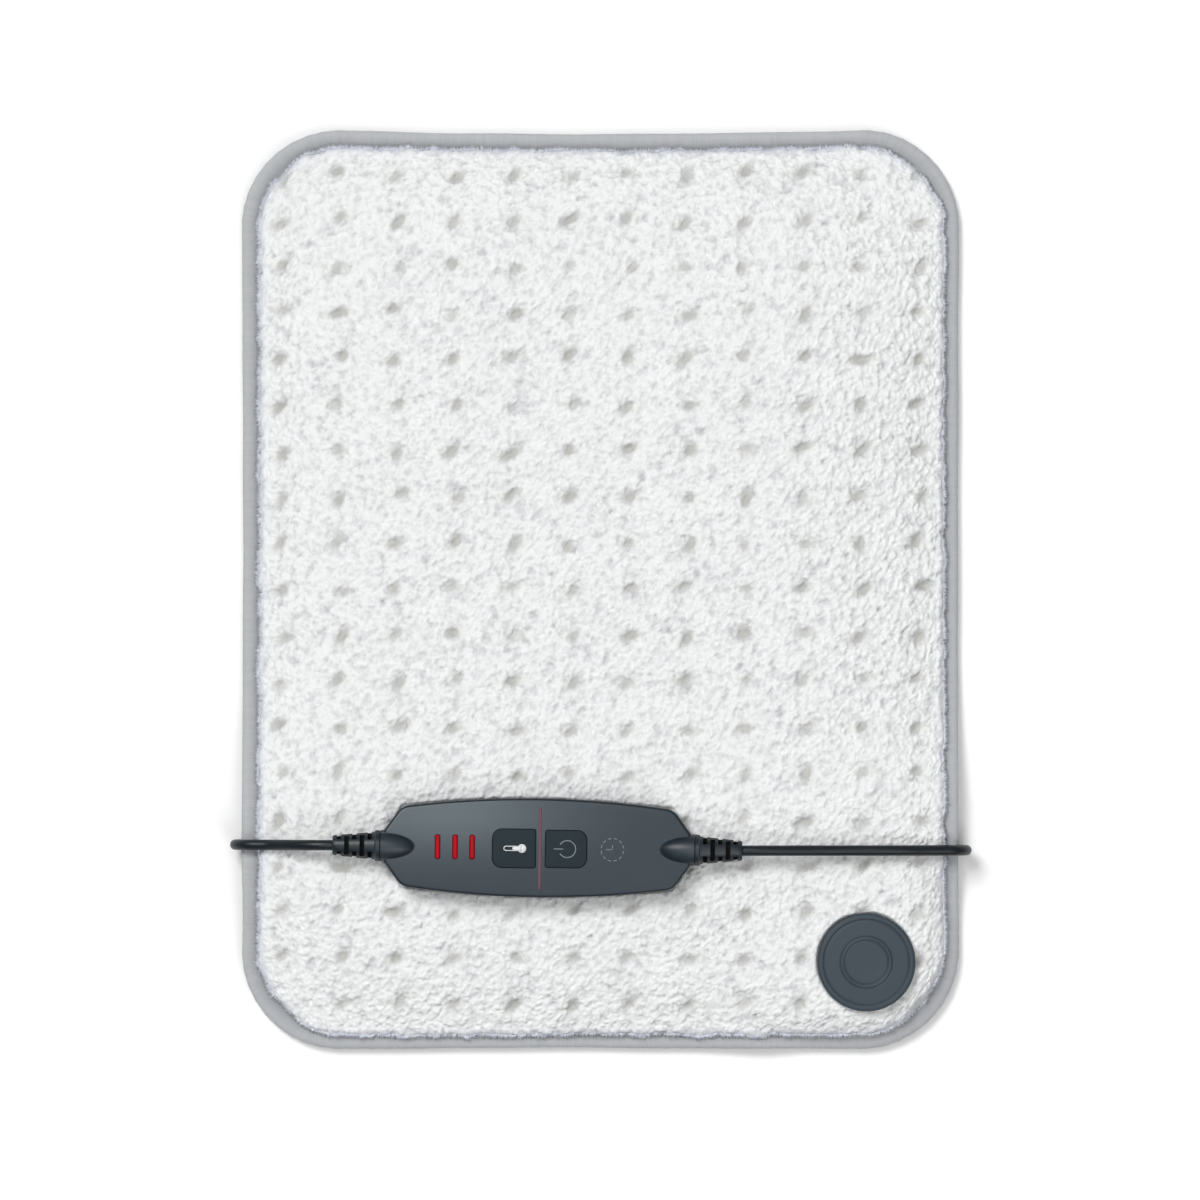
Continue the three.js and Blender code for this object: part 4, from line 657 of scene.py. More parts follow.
def puffed(x, y, height):
    """The cover as cloth: pinned at its border and at its welds, which are drawn down, and blown up a little
    by the filling; gives how far each point of the coarse grid moves up."""
    rows, columns = x.shape
    pinned = np.zeros((rows, columns))
    start = height.copy()
    for px, py in zip(weld_x.ravel(), weld_y.ravel()):
        row, column = np.unravel_index(np.argmin((x - px) ** 2 + (y - py) ** 2), x.shape)
        pinned[row, column] = 1
        start[row, column] -= weld_drop
    pinned[[0, -1], :] = 1
    pinned[:, [0, -1]] = 1
    cloth = put("cloth", np.stack((x, y, start), axis=-1), grid_faces(rows, columns))
    group = cloth.vertex_groups.new(name="pins")
    group.add(np.flatnonzero(pinned.ravel()).tolist(), 1.0, "REPLACE")
    settings = cloth.modifiers.new("cloth", "CLOTH").settings
    settings.vertex_group_mass = "pins"
    settings.mass = cloth_mass
    settings.tension_stiffness = cloth_stiffness
    settings.compression_stiffness = cloth_stiffness
    settings.bending_stiffness = cloth_bending
    settings.use_pressure = True
    settings.uniform_pressure_force = cloth_pressure
    settings.effector_weights.gravity = 0
    for number in range(1, cloth_frames + 1):
        bpy.context.scene.frame_set(number)
    shaped = cloth.evaluated_get(bpy.context.evaluated_depsgraph_get()).data
    place = np.empty(3 * rows * columns, np.float32)
    shaped.vertices.foreach_get("co", place)
    bpy.data.objects.remove(cloth)
    bpy.context.scene.frame_set(1)
    return np.clip(place.reshape(rows, columns, 3)[..., 2] - height, -weld_drop, swell_limit)


plush_x, plush_y = pad_grid(plush_insets, plush_corner_inset, plush_columns, plush_rows)
rim = rim_of(plush_rows, plush_columns)
thinned = rim[::4]
cloth_x, cloth_y = pad_grid(plush_insets, plush_corner_inset, cloth_columns, cloth_rows)
cloth_from_rim = np.hypot(cloth_x[..., None] - plush_x.ravel()[thinned],
                          cloth_y[..., None] - plush_y.ravel()[thinned]).min(axis=-1)
cloth_from_rim[[0, -1], :] = 0
cloth_from_rim[:, [0, -1]] = 0
from_rim = np.maximum(enlarged(cloth_from_rim, plush_rows, plush_columns), 0)
swell = puffed(cloth_x, cloth_y, cover_height(cloth_x, cloth_y, cloth_from_rim))
swell = enlarged(swell, plush_rows, plush_columns)
wander = cells(np.stack((plush_x, plush_y, 0 * plush_x), axis=-1), wander_size, wander_seed)[1]
wander = rim_wander * (2 * wander - 1) * (1 - np.clip(from_rim / wander_reach, 0, 1)) ** 2
wander = 1 + wander / np.maximum(np.hypot(plush_x, plush_y), wander_reach)
plush_x, plush_y = plush_x * wander, plush_y * wander

column = np.clip(np.rint(plush_x / weld_pitch[0] + (weld_columns - 1) / 2), 0, weld_columns - 1).astype(int)
row = np.clip(np.rint(plush_y / weld_pitch[1] + (weld_rows - 1) / 2), 0, weld_rows - 1).astype(int)
off_x, off_y = plush_x - weld_x[column, row], plush_y - weld_y[column, row]
turn = weld_turn[column, row]
long_way = (off_x * np.cos(turn) + off_y * np.sin(turn)) / (hollow_length * weld_size[column, row])
short_way = (off_y * np.cos(turn) - off_x * np.sin(turn)) / hollow_width
hollow = np.exp(-(long_way ** 2 + short_way ** 2) ** hollow_power) * weld_force[column, row]

height = cover_height(plush_x, plush_y, from_rim) + swell - hollow_depth * hollow
surface = np.stack((plush_x, plush_y, height), axis=-1)
outward = np.cross(np.gradient(surface, axis=1), np.gradient(surface, axis=0))
outward /= np.linalg.norm(outward, axis=-1, keepdims=True)
drift = np.sqrt(cells(surface, drift_size, drift_seed)[0])[..., None] * np.array(drift_reach)
along_lump = np.array((math.cos(lump_slant), math.sin(lump_slant), 0))
grown = surface - (1 - 1 / lump_stretch) * (surface @ along_lump)[..., None] * along_lump
pile = 0
for size, depth, least, spread, drifting, seed in lump_kinds:
    away, share = cells(grown + drifting * drift, size, seed)
    pile = pile + depth * (least + spread * share) * np.clip(1 - away / lump_reach, lump_floor, 1)
fluff = blurred(np.random.default_rng(fibre_seed).normal(0, 1, pile.shape), fibre_blur)
pile = pile + fibre_depth * fluff / fluff.std()
at_rim = 1 - np.clip(from_rim / plush_rise, 0, 1)
pile = pile * (1 - hollow_calm * np.clip(hollow, 0, 1)) * (1 - rim_calm * at_rim)
pile = pile * (1 - droop_calm * droop(plush_x, plush_y) / connector_lift)
surface = surface + outward * pile[..., None]
lowest = read_map(cover_map, plush_x, plush_y) + least_pile
surface[..., 2] = np.where(from_rim > plush_rise, np.maximum(surface[..., 2], lowest), surface[..., 2])
disc_gap = np.hypot(plush_x - connector_place[0], plush_y - connector_place[1])
disc_gap = disc_gap - (float(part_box("connector_disc")[1][0]) - connector_place[0])
disc_seat = float(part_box("connector_disc")[1][2]) - disc_thickness
pressed = np.minimum(case_low[2] + press_slope * np.maximum(near_case(plush_x, plush_y) + press_inside, 0),
                     disc_seat + press_slope * np.maximum(disc_gap + press_inside, 0))
surface[..., 2] = np.minimum(surface[..., 2], pressed - press_gap + press_texture * np.minimum(pile, 0))

back_columns, back_rows = layer_grid
back_x, back_y = pad_grid([inset + back_inset for inset in plush_insets], plush_corner_inset + back_inset,
                          back_columns, back_rows)
back = np.stack((back_x, back_y, read_map(cover_map, back_x, back_y)), axis=-1).reshape(-1, 3)
back_rim = rim_of(back_rows, back_columns)
nearest_back = np.rint(np.linspace(0, len(back_rim), len(rim), endpoint=False)).astype(int) % len(back_rim)
first_back = plush_rows * plush_columns
after = np.roll(np.arange(len(rim)), -1)
fan = np.stack((rim[after], rim, first_back + back_rim[nearest_back]), axis=1)
moved_on = nearest_back != nearest_back[after]
step = np.stack((rim[after], first_back + back_rim[nearest_back], first_back + back_rim[nearest_back[after]]),
                axis=1)[moved_on]
front = put("front_cover_plush", np.concatenate((surface.reshape(-1, 3), back)),
            grid_faces(plush_rows, plush_columns), fan, step,
            first_back + grid_faces(back_rows, back_columns)[:, ::-1])
for name, values, behind in (("hollow", np.clip(hollow, 0, 1), 0),
                             ("rim_light_share", np.clip(1 - from_rim / rim_light_width, 0, 1), 1),
                             ("depth", pile / sum(kind[1] for kind in lump_kinds), 0)):
    values = np.concatenate((values.ravel(), np.full(len(back), behind))).astype(np.float32)
    front.data.attributes.new(name, "FLOAT", "POINT").data.foreach_set("value", values)


def ramp(start, value, low, high):
    """Runs from 0 to 1 as the value runs from low to high."""
    return start.node("ShaderNodeMapRange", inputs={"Value": value, "From Min": low, "From Max": high})


fibre_scale, fibre_share, crevice_shade_range = 2600.0, 0.3, (-0.2, 0.83)
hollow_shade_tint, rim_light_tint = 0.9, 0.45
pile_finish, start = finish("white_plush", Sheen_Weight=0.8, Sheen_Roughness=0.5, Roughness=0.95,
                            Specular_IOR_Level=0.15)
depth, hollow_shade_share, rim_light_share = (start.node("ShaderNodeAttribute", {"attribute_name": name}, output="Fac")
                       for name in ("depth", "hollow", "rim_light_share"))
fibre = noise(start, fibre_scale, detail=4.0)
# Painted shade: the pile is painted darker the lower it lies among its lumps, as shade in its crevices; the fine
# cloud adds random tone.
tip = ramp(start, depth + fibre_share * fibre, *crevice_shade_range)
pile_colour = mix(start, tip, (178, 180, 183), (246, 247, 247))
# Painted shade: the welded hollows are painted a warm grey, as shade in these dents.
pile_colour = mix(start, hollow_shade_share * hollow_shade_tint, pile_colour, (184, 183, 178))
# Painted light: the pile's rim is tinted a bluish white, as the light that falls on its edge.
pile_colour = mix(start, rim_light_share * rim_light_tint, pile_colour, (234, 238, 248))
feed(pile_finish, Base_Color=pile_colour, Normal=bump(start, fibre, depth=0.0003, strength=0.8))
dress(front, pile_finish, ("front_cover",))

fringe_count, fringe_seed = 17000, 21
fringe_length, fringe_lengths = 0.0025, (0.4, 1.1)
fringe_width = 0.0004
fringe_row = 1
fringe_lean, fringe_lift, fringe_spread = (0.45, 0.35, 0.3), 0.15, 3
root_inside, root_height = 0.0004, 0.0003
heading_step = 3
fringe_random = np.random.default_rng(fringe_seed)
fringe_ring = rim_of(plush_rows - 2 * fringe_row, plush_columns - 2 * fringe_row)
rim_points = surface[fringe_row:-fringe_row, fringe_row:-fringe_row].reshape(-1, 3)[fringe_ring]
rim_heading = np.roll(rim_points, -heading_step, axis=0) - np.roll(rim_points, heading_step, axis=0)
rim_outward = np.stack((rim_heading[:, 1], -rim_heading[:, 0], 0 * rim_heading[:, 0]), axis=1)
rim_outward /= np.linalg.norm(rim_outward, axis=1, keepdims=True)
rooted = fringe_random.integers(0, len(fringe_ring), fringe_count)
outward = rim_outward[rooted]
aside = np.cross(outward, (0, 0, 1))
lean = fringe_random.normal(0, 1, (3, fringe_count, 1)) * np.array(fringe_lean)[:, None, None]
reach = outward + lean[0] * aside + (lean[1] + fringe_lift) * np.array((0, 0, 1))
root = rim_points[rooted] - root_inside * outward
root = root + np.array((0, 0, root_height)) * (1 + fringe_spread * abs(lean[2]))
end = root + fringe_length * fringe_random.uniform(*fringe_lengths, (fringe_count, 1)) * reach
half_root = fringe_width / 2 * aside
blades = np.stack((root - half_root, root + half_root, root + np.array((0, 0, fringe_width)), end), axis=1)
first = 4 * np.arange(fringe_count)[:, None, None]
blade_faces = np.array(((0, 1, 2), (0, 3, 1), (1, 3, 2), (2, 3, 0))) + first
fringe = put("front_cover_fringe", blades, blade_faces.reshape(-1, 3))
fringe_finish, start = finish("plush_fringe", Roughness=0.95, Specular_IOR_Level=0.15)
# The fringe's blue-white is painted light, like the pile's rim; the cloud between its two colours is random tone.
feed(fringe_finish, Base_Color=mix(start, noise(start, scale=700.0), (222, 226, 236), (240, 243, 250)))
dress(fringe, fringe_finish)

# The edge binding. A grey woven tape folded round the edges of all the layers and sewn through them; it puckers
# a little at the corners, and its upper leaf goes in under the plush.
binding_steps, binding_around = 2300, 44
binding_section = np.array([
    (11.2, 4.3), (9.4, 4.8), (7.6, 5.5), (5.6, 6.1), (3.6, 6.35), (1.7, 6.25), (0.5, 5.5), (0.05, 4.3),
    (0.05, 2.6), (0.5, 1.3), (1.6, 0.5), (3.6, 0.1), (5.6, 0.02), (7.2, 0.1), (7.2, 0.75), (4.8, 0.8),
    (2.7, 1.3), (1.5, 2.2), (1.1, 3.15), (1.5, 4.6), (2.7, 5.4), (5.0, 5.45), (7.4, 4.8), (9.2, 4.1),
    (11.0, 3.6)]) / 1000
section_step = 0.0002
side_count, end_count = 800, 700
pucker_depth, pucker_pitch, pucker_straight = 0.0001, 0.0072, 0.25
swell_depth = 0.00012
tape_blurs, tape_wrap, tape_seed = (9.0, 20.0), 60, 3
corner_blur, rest_blur = 6.0, 12.0
tape_hold = 0.004

side_y, side_x = rim_side(half_width, half_length, side_draw, 0, 0, side_count)
top_x, top_y = rim_side(half_length, half_width, top_draw, 0, 0, end_count)
low_x, low_y = rim_side(half_length, half_width, bottom_draw, 0, 0, end_count)
side, top, low = (np.stack(pair, axis=1) for pair in ((side_x, side_y), (top_x, top_y), (low_x, low_y)))
outline = np.concatenate((side[:-1], top[:0:-1], -side[:-1], -low[:0:-1]))
closed = np.vstack((outline, outline[:1]))
outline_length = np.concatenate(([0], np.cumsum(np.linalg.norm(np.diff(closed, axis=0), axis=1))))
even = np.linspace(0, outline_length[-1], binding_steps, endpoint=False)
outline = np.stack([np.interp(even, outline_length, closed[:, axis]) for axis in (0, 1)], axis=1)
heading = np.roll(outline, -1, axis=0) - np.roll(outline, 1, axis=0)
heading /= np.linalg.norm(heading, axis=1, keepdims=True)
inward = np.stack((-heading[:, 1], heading[:, 0]), axis=1)
turning = np.linalg.norm(np.roll(heading, -1, axis=0) - np.roll(heading, 1, axis=0), axis=1)
cornering = blurred((turning / turning.max())[:, None], corner_blur)
section = smooth_path(np.concatenate((binding_section, binding_section[:1])), section_step)[:-1]
section = section[np.rint(np.linspace(0, len(section), binding_around, endpoint=False)).astype(int)]
section_out = np.roll(section, -1, axis=0) - np.roll(section, 1, axis=0)
section_out = np.stack((section_out[:, 1], -section_out[:, 0]), axis=1)
section_out /= np.linalg.norm(section_out, axis=1, keepdims=True)
wander = np.random.default_rng(tape_seed).normal(0, 1, (2, binding_steps, 1))
wander = [np.concatenate((part[-tape_wrap:], part, part[:tape_wrap])) for part in wander]
wander = [blurred(part, spread)[tape_wrap:-tape_wrap] for part, spread in zip(wander, tape_blurs)]
wander = [part / part.std() for part in wander]
puckers = np.sin(2 * math.pi * even[:, None] / pucker_pitch + wander[0])
waves = pucker_depth * (pucker_straight + (1 - pucker_straight) * cornering) * puckers
waves = waves + swell_depth * wander[1]
tape_rest = cad_height("edge_binding", *(outline + tape_hold * inward).T.copy(), False)
tape_rest = blurred(tape_rest[:, None], rest_blur)
inset = section[None, :, 0] + section_out[None, :, 0] * waves
rise = section[None, :, 1] + section_out[None, :, 1] * waves
tape = outline[:, None] + inward[:, None] * inset[..., None]
tape_rest = np.maximum(tape_rest - droop(tape[..., 0], tape[..., 1]), 0)
tape = np.concatenate((tape, (tape_rest + rise)[..., None]), axis=-1)
tape_faces = grid_faces(binding_steps + 1, binding_around, closed=True) % (binding_steps * binding_around)
binding = put("edge_binding_tape", tape, tape_faces)
tape_uv = binding.data.uv_layers.new(name="tape")
corners = np.empty(len(binding.data.loops), np.int32)
binding.data.loops.foreach_get("vertex_index", corners)
station = corners // binding_around
station = np.where((station == 0) & (np.arange(len(corners)) // 4 >= len(tape_faces) - binding_around),
                   binding_steps, station)
along = station * outline_length[-1] / binding_steps
around = (corners % binding_around) / binding_around
tape_uv.data.foreach_set("uv", np.stack((along, around), axis=1).ravel().astype(np.float32))

tape_shade_span = (0.09, 0.25)
rib_pitch, streak_scale, thread_scale = 0.00085, (650.0, 3.0, 1.0), 1800.0
weave_depth = 0.00014
tape_finish, start = finish("woven_tape", Sheen_Weight=0.25, Sheen_Roughness=0.4)
place = start.node("ShaderNodeUVMap", {"uv_map": "tape"})
along, across = (start.node("ShaderNodeSeparateXYZ", inputs={"Vector": place}, output=axis) for axis in "XY")
ribs = 0.5 + 0.5 * start.math("SINE", along * (2 * math.pi / rib_pitch))
streak = start.node("ShaderNodeVectorMath", {"operation": "MULTIPLY"}, {0: place, 1: streak_scale})
streak = start.node("ShaderNodeTexNoise", inputs={"Vector": streak, "Scale": 1.0, "Detail": 3.0})
thread = noise(start, thread_scale, detail=3.0)
weave = 0.25 * ribs + 0.5 * streak + 0.25 * thread
# Painted shade: the tape's inner part, next to the plush, is painted darker than its outer edge, as the shade of
# the plush's roll on it.
shaded_inner_colour = mix(start, weave, (132, 134, 137), (166, 168, 171))
unshaded_outer_colour = mix(start, weave, (168, 171, 174), (200, 202, 205))
feed(tape_finish, Base_Color=mix(start, ramp(start, across, *tape_shade_span), shaded_inner_colour, unshaded_outer_colour),
     Roughness=0.62 + 0.14 * thread, Normal=bump(start, weave, weave_depth))
dress(binding, tape_finish, ("edge_binding",))

# The connector. A round slate-grey moulding clamps the pad between its disc and its base; the disc has a raised
# rim, a groove inside it and two raised rings round its middle.
disc_sides, disc_crease = 128, 50
disc_top = float(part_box("connector_disc")[1][2])
hub_low = float(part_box("connector_disc")[0][2])
disc_profile = np.array([
    (12, -14.6), (12, -4.6), (20.4, -4.6), (21.0, -4.3), (21.3, -3.7), (21.35, -3.0), (21.35, -1.3),
    (21.25, -0.8), (20.97, -0.38), (20.55, -0.1), (20.05, 0), (19.2, 0), (18.95, -0.05), (18.8, -0.22),
    (18.7, -0.45), (18.5, -0.48), (18.35, -0.34), (18.15, -0.26), (17.0, -0.22), (12.4, -0.22), (11.85, -0.16),
    (11.65, -0.22), (11.48, -0.4), (11.34, -0.4), (11.16, -0.15), (10.95, 0.02), (10.5, 0.08), (10.1, 0.02),
    (9.85, -0.1), (9.65, -0.22), (9.48, -0.4), (9.34, -0.4), (9.15, -0.24), (8.95, -0.16), (8.4, -0.22),
    (4.0, -0.24), (0.5, -0.24)]) / 1000
disc_profile[0, 1] = hub_low - disc_top


def turned(profile, sides, centre, height):
    """A profile of radii and heights turned once round an upright line."""
    angle = np.linspace(0, 2 * math.pi, sides, endpoint=False)
    return np.stack((centre[0] + profile[:, :1] * np.cos(angle), centre[1] + profile[:, :1] * np.sin(angle),
                     height + profile[:, 1:] + 0 * angle), axis=-1)


def crease(piece, degrees):
    """Keeps the edges of a piece crisp where its faces meet at more than this angle."""
    piece.data.set_sharp_from_angle(angle=math.radians(degrees))
    return piece


slate_finish = moulded("slate_plastic", (56, 67, 75), (62, 73, 81), roughness=0.46, shine=0.25)
disc_rings = turned(disc_profile, disc_sides, connector_place, disc_top)
disc = crease(barrel("connector_disc_turned", disc_rings), disc_crease)
dress(disc, slate_finish, ("connector_disc",))
brass_finish, start = finish("brass", Metallic=1.0, Base_Color=paint(196, 164, 96))
feed(brass_finish, Roughness=0.28 + 0.14 * noise(start, scale=900.0))
coat(slate_finish, "connector_base")
coat(steel_finish, "connector_screw_1", "connector_screw_2", "connector_screw_3")
coat(brass_finish, "contact_blade_1", "contact_blade_2")

# The controller's shells. Two slate-grey mouldings meet low on the side and are screwed together from below;
# the face is a lighter film let in flush, and each end carries a bullet-shaped hump over its cord tunnel.
case_tip_half = 0.0069
case_half, case_cut, shoulder_rise = 0.0215, 0.004, 0.05
case_height, case_round, case_crown = 0.0146, 0.0014, 0.0003
case_crease, face_eye = 32, 0.02
parting, parting_gap = 0.011, 0.00015
hump_radius, hump_end, hump_length = 0.0069, 0.0681, 0.0176
hump_power, hump_point = 2.2, 1e-6
hump_steps, hump_sides = 40, 72
pocket_depth, cutter_over = 0.0022, 0.001
pocket_floor = case_height - pocket_depth
light_places = (-0.0433, -0.0357, -0.0283)
light_half, light_gap, light_hole_corner = (0.001175, 0.0053), 0.0001, 0.001
button_row = -0.0003
button_gap = 0.00018
# Each button's middle, width, height and the side of its large corners.
buttons = {"temperature": (-0.0101, 0.0189, 0.0169, -1), "power": (0.0125, 0.0181, 0.0163, 1)}
button_corners = (0.0042, 0.001)
corner_points = 10


def on_case(points):
    """Carries points from the controller's own frame to its place on the pad."""
    points = np.asarray(points, float)
    x = case_middle[0] + points[..., 0] * math.cos(case_turn) - points[..., 1] * math.sin(case_turn)
    y = case_middle[1] + points[..., 0] * math.sin(case_turn) + points[..., 1] * math.cos(case_turn)
    return np.stack((x, y, case_low[2] + points[..., 2]), axis=-1)


def bend(first, pull, last, count):
    """A quadratic curve from the first point to the last, drawn towards a third, without its last point."""
    t = np.linspace(0, 1, count, endpoint=False)[:, None]
    first, pull, last = (np.array(point, float) for point in (first, pull, last))
    return (1 - t) ** 2 * first + 2 * t * (1 - t) * pull + t ** 2 * last


def case_loop():
    """The case's outline: a quarter made of a straight tip, a slope, a rounded shoulder and a bowed side, and
    its three mirrored copies, anticlockwise from the right tip."""
    end, tip = np.array((case_tip, 0)), np.array((case_tip, case_tip_half))
    shoulder = np.array((case_shoulder, case_shoulder_half))
    below = shoulder - (shoulder - tip) / np.linalg.norm(shoulder - tip) * case_cut
    past = shoulder + case_cut * np.array((-1, shoulder_rise))
    bow = np.array((0, 2 * case_half - past[1]))
    flip = np.array((-1, 1))
    stops = (end, tip, below, past, past * flip, below * flip, tip * flip, end * flip)
    pulls = ((end + tip) / 2, (tip + below) / 2, shoulder, bow, shoulder * flip, (tip + below) / 2 * flip,
             (end + tip) / 2 * flip)
    counts = (8, 12, 12, 60, 12, 12, 8)
    upper = np.concatenate([bend(*stretch) for stretch in zip(stops, pulls, stops[1:], counts)])
    return np.concatenate((upper, -upper))


def shrunk(loop, distance):
    """A loop moved inwards: each point goes along the mean of the normals of the sides that meet there."""
    sides = np.roll(loop, -1, axis=0) - loop
    sides /= np.linalg.norm(sides, axis=1, keepdims=True)
    normals = np.stack((-sides[:, 1], sides[:, 0]), axis=1)
    mean = normals + np.roll(normals, 1, axis=0)
    return loop + distance * mean / np.maximum((mean ** 2).sum(axis=1, keepdims=True) / 2, 0.5)


def stacked(loop, levels):
    """Rings of a loop at a list of levels, each with the distance it is drawn in and its height."""
    return np.stack([np.concatenate((shrunk(loop, inset), np.full((len(loop), 1), height)), axis=1)
                     for inset, height in levels])


def face_level(x, y):
    """The height of the case's face: a shallow crown, one parabola along times one across."""
    across = np.clip(1 - (y / case_half) ** 2, 0, 1)
    return case_height + case_crown * np.clip(1 - (x / case_tip) ** 2, 0, 1) * across


def crowned(loop, steps):
    """Rings of the face: the loop shrunk towards the middle by equal shares, at the crown's height."""
    shrunken = loop * np.linspace(1, face_eye, steps)[1:, None, None]
    return np.concatenate((shrunken, face_level(shrunken[..., 0], shrunken[..., 1])[..., None]), axis=-1)


def rounded(radius, height, steps):
    """Levels of a rounded upper edge: from the wall to the top, on a quarter circle."""
    turn = np.linspace(0, math.pi / 2, steps)
    return [(radius * (1 - math.cos(a)), height - radius * (1 - math.sin(a))) for a in turn]


def carved(piece, tool, operation):
    """The piece after a Boolean with a tool piece, which is used up."""
    cut = piece.modifiers.new("cut", "BOOLEAN")
    cut.operation, cut.object, cut.solver = operation, tool, "EXACT"
    shaped = bpy.data.meshes.new_from_object(piece.evaluated_get(bpy.context.evaluated_depsgraph_get()))
    piece.modifiers.clear()
    piece.data = shaped
    bpy.data.objects.remove(tool)
    return piece


def bar_loop(x, y, half_x, half_y, corners):
    """A rectangle's outline with a corner radius for its right and its left side, anticlockwise."""
    quarter = np.linspace(0, math.pi / 2, corner_points)
    parts = []
    for k, (sx, sy) in enumerate(((1, -1), (1, 1), (-1, 1), (-1, -1))):
        radius = corners[0] if sx > 0 else corners[1]
        angle = quarter + (k - 1) * math.pi / 2
        parts.append(np.stack((x + sx * (half_x - radius) + radius * np.cos(angle),
                               y + sy * (half_y - radius) + radius * np.sin(angle)), axis=1))
    return np.concatenate(parts)


def button_loop(name, grow):
    """A button's outline: large corners on the side away from the other button."""
    x, width, height, large = buttons[name]
    corners = button_corners if large > 0 else button_corners[::-1]
    return bar_loop(x, button_row, width / 2 + grow, height / 2 + grow, [radius + grow for radius in corners])


def bullet(end):
    """A hump: an ogive turned about the cord's line, from full at the case's end to a point on the face."""
    along = np.linspace(0, 1, hump_steps)
    radius = hump_radius * np.sqrt(np.maximum(1 - along ** hump_power, hump_point))
    place = end * (hump_end - hump_length * along)
    if end > 0:
        place, radius = place[::-1], radius[::-1]
    angle = np.linspace(0, 2 * math.pi, hump_sides, endpoint=False)
    return np.stack((place[:, None] + 0 * angle, radius[:, None] * np.cos(angle),
                     parting + radius[:, None] * np.sin(angle)), axis=-1)


loop = case_loop()
wall = stacked(loop, [(0, parting + parting_gap)] + rounded(case_round, case_height, steps=9))
face = crowned(shrunk(loop, case_round), steps=16)
upper = barrel("top_shell_moulding", on_case(np.concatenate((wall, face))))
for end in (-1, 1):
    upper = carved(upper, barrel("hump", on_case(bullet(end))), "UNION")
holes = [button_loop(name, button_gap) for name in buttons]
holes += [bar_loop(place, 0, light_half[0] + light_gap, light_half[1] + light_gap, (light_hole_corner,) * 2)
          for place in light_places]
for hole in holes:
    cutter = stacked(hole, [(0, pocket_floor), (0, case_height + cutter_over)])
    upper = carved(upper, barrel("hole", on_case(cutter)), "DIFFERENCE")
lower_levels = [(inset, case_height - height)
                for inset, height in rounded(case_round, case_height, steps=7)][::-1]
lower = barrel("bottom_shell_moulding", on_case(stacked(loop, lower_levels + [(0, parting - parting_gap)])))


def own_place(start, axis):
    """A point's place along one axis of the piece's own space."""
    place = start.node("ShaderNodeTexCoord", output="Object")
    return start.node("ShaderNodeSeparateXYZ", inputs={"Vector": place}, output=axis)


shell_cloud = 60.0
face_height = case_low[2] + case_height
film_slack, hump_highlight_levels = 0.00012, (0.0012, 0.0032)
painted_highlight_place, painted_highlight_reach = (-0.0403, 0.0154), (0.035, 0.012)
case_finish, start = finish("case_plastic", Roughness=0.36, Specular_IOR_Level=0.3)
level = own_place(start, "Z")
film = start.math("COMPARE", level, face_height + case_crown / 2, case_crown / 2 + film_slack)
cloud = noise(start, shell_cloud, detail=3.0)
# Painted highlight: the shell is painted lighter where it stands more than a millimetre above the face, on the
# tops of the humps.
painted_hump_highlight = ramp(start, level, *(face_height + rise for rise in hump_highlight_levels))
shell_colour = mix(start, cloud, (29, 38, 45), (35, 44, 51))
shell_colour = mix(start, painted_hump_highlight, shell_colour, (52, 62, 70))
off_x, off_y = ((own_place(start, axis) - float(middle + shift)) * (1 / reach)
                for axis, middle, shift, reach in zip("XY", case_middle, painted_highlight_place, painted_highlight_reach))
# Painted highlight: a soft oval patch of light towards the face's upper left, mixed into the film's colour.
painted_highlight = start.math("EXPONENT", -0.5 * (off_x * off_x + off_y * off_y))
film_colour = mix(start, cloud, (42, 53, 62), (48, 59, 68))
film_colour = mix(start, painted_highlight, film_colour, (94, 105, 111))
feed(case_finish, Base_Color=mix(start, film, shell_colour, film_colour),
     Normal=bump(start, noise(start, plastic_grain), plastic_grain_depth))
dress(crease(upper, case_crease), case_finish, ("top_shell",))
dress(crease(lower, case_crease), case_finish, ("bottom_shell",))
coat(steel_finish, "case_screw_1", "case_screw_2", "case_screw_3", "case_screw_4")

# The buttons. Two dark plates stand just proud of the face, each with its sign printed on it: a lying
# thermometer in white and a thin grey ring with a stroke for power. They ride the two sliding bodies.
button_proud, button_round, plate_gap = 0.0005, 0.0005, 0.0008
button_top = case_height + button_proud
print_lift, print_thickness, print_step = 0.00003, 0.00004, 0.00001
print_height = button_top + print_lift
bulb_x, bulb_radius = -0.0067, 0.0019
stem_left, stem_half, stem_line, stem_overlap = -0.0145, 0.00092, 0.00036, 0.001
filling = np.array([(-0.0108, -0.0006), (-0.0085, -0.001), (bulb_x, -0.0011), (bulb_x, 0.0011), (-0.0085, 0.001),
                    (-0.0108, 0.0006)])
power_x, power_radius, power_opening, power_line = 0.013, 0.00366, 149, 0.00048
power_bar = (-0.0059, -0.0016)


def printed(loop, height):
    """A flat mark of this outline, as thin as ink, at this height."""
    return on_case(stacked(loop, [(0, height), (0, height + print_thickness)]))


def line_mark(points, width, height=None):
    """A printed line: a flat band of even width along the points, with square ends and a thickness, at one
    height or on the face."""
    heading = np.gradient(points, axis=0)
    heading /= np.linalg.norm(heading, axis=1, keepdims=True)
    side = np.stack((-heading[:, 1], heading[:, 0]), axis=1) * width / 2
    right, left = points - side, points + side
    if height is None:
        height = face_level(points[:, 0], points[:, 1]) + print_lift
    low = np.broadcast_to(height, len(points))[:, None]
    high = low + print_thickness
    edges = ((left, low), (left, high), (right, high), (right, low))
    return on_case(np.stack([np.concatenate(edge, axis=1) for edge in edges], axis=1))


def arc(x, y, radius, first, last, count):
    """Points on part of a circle, between two angles in degrees."""
    angle = np.radians(np.linspace(first, last, count))
    return np.stack((x + radius * np.cos(angle), y + radius * np.sin(angle)), axis=1)


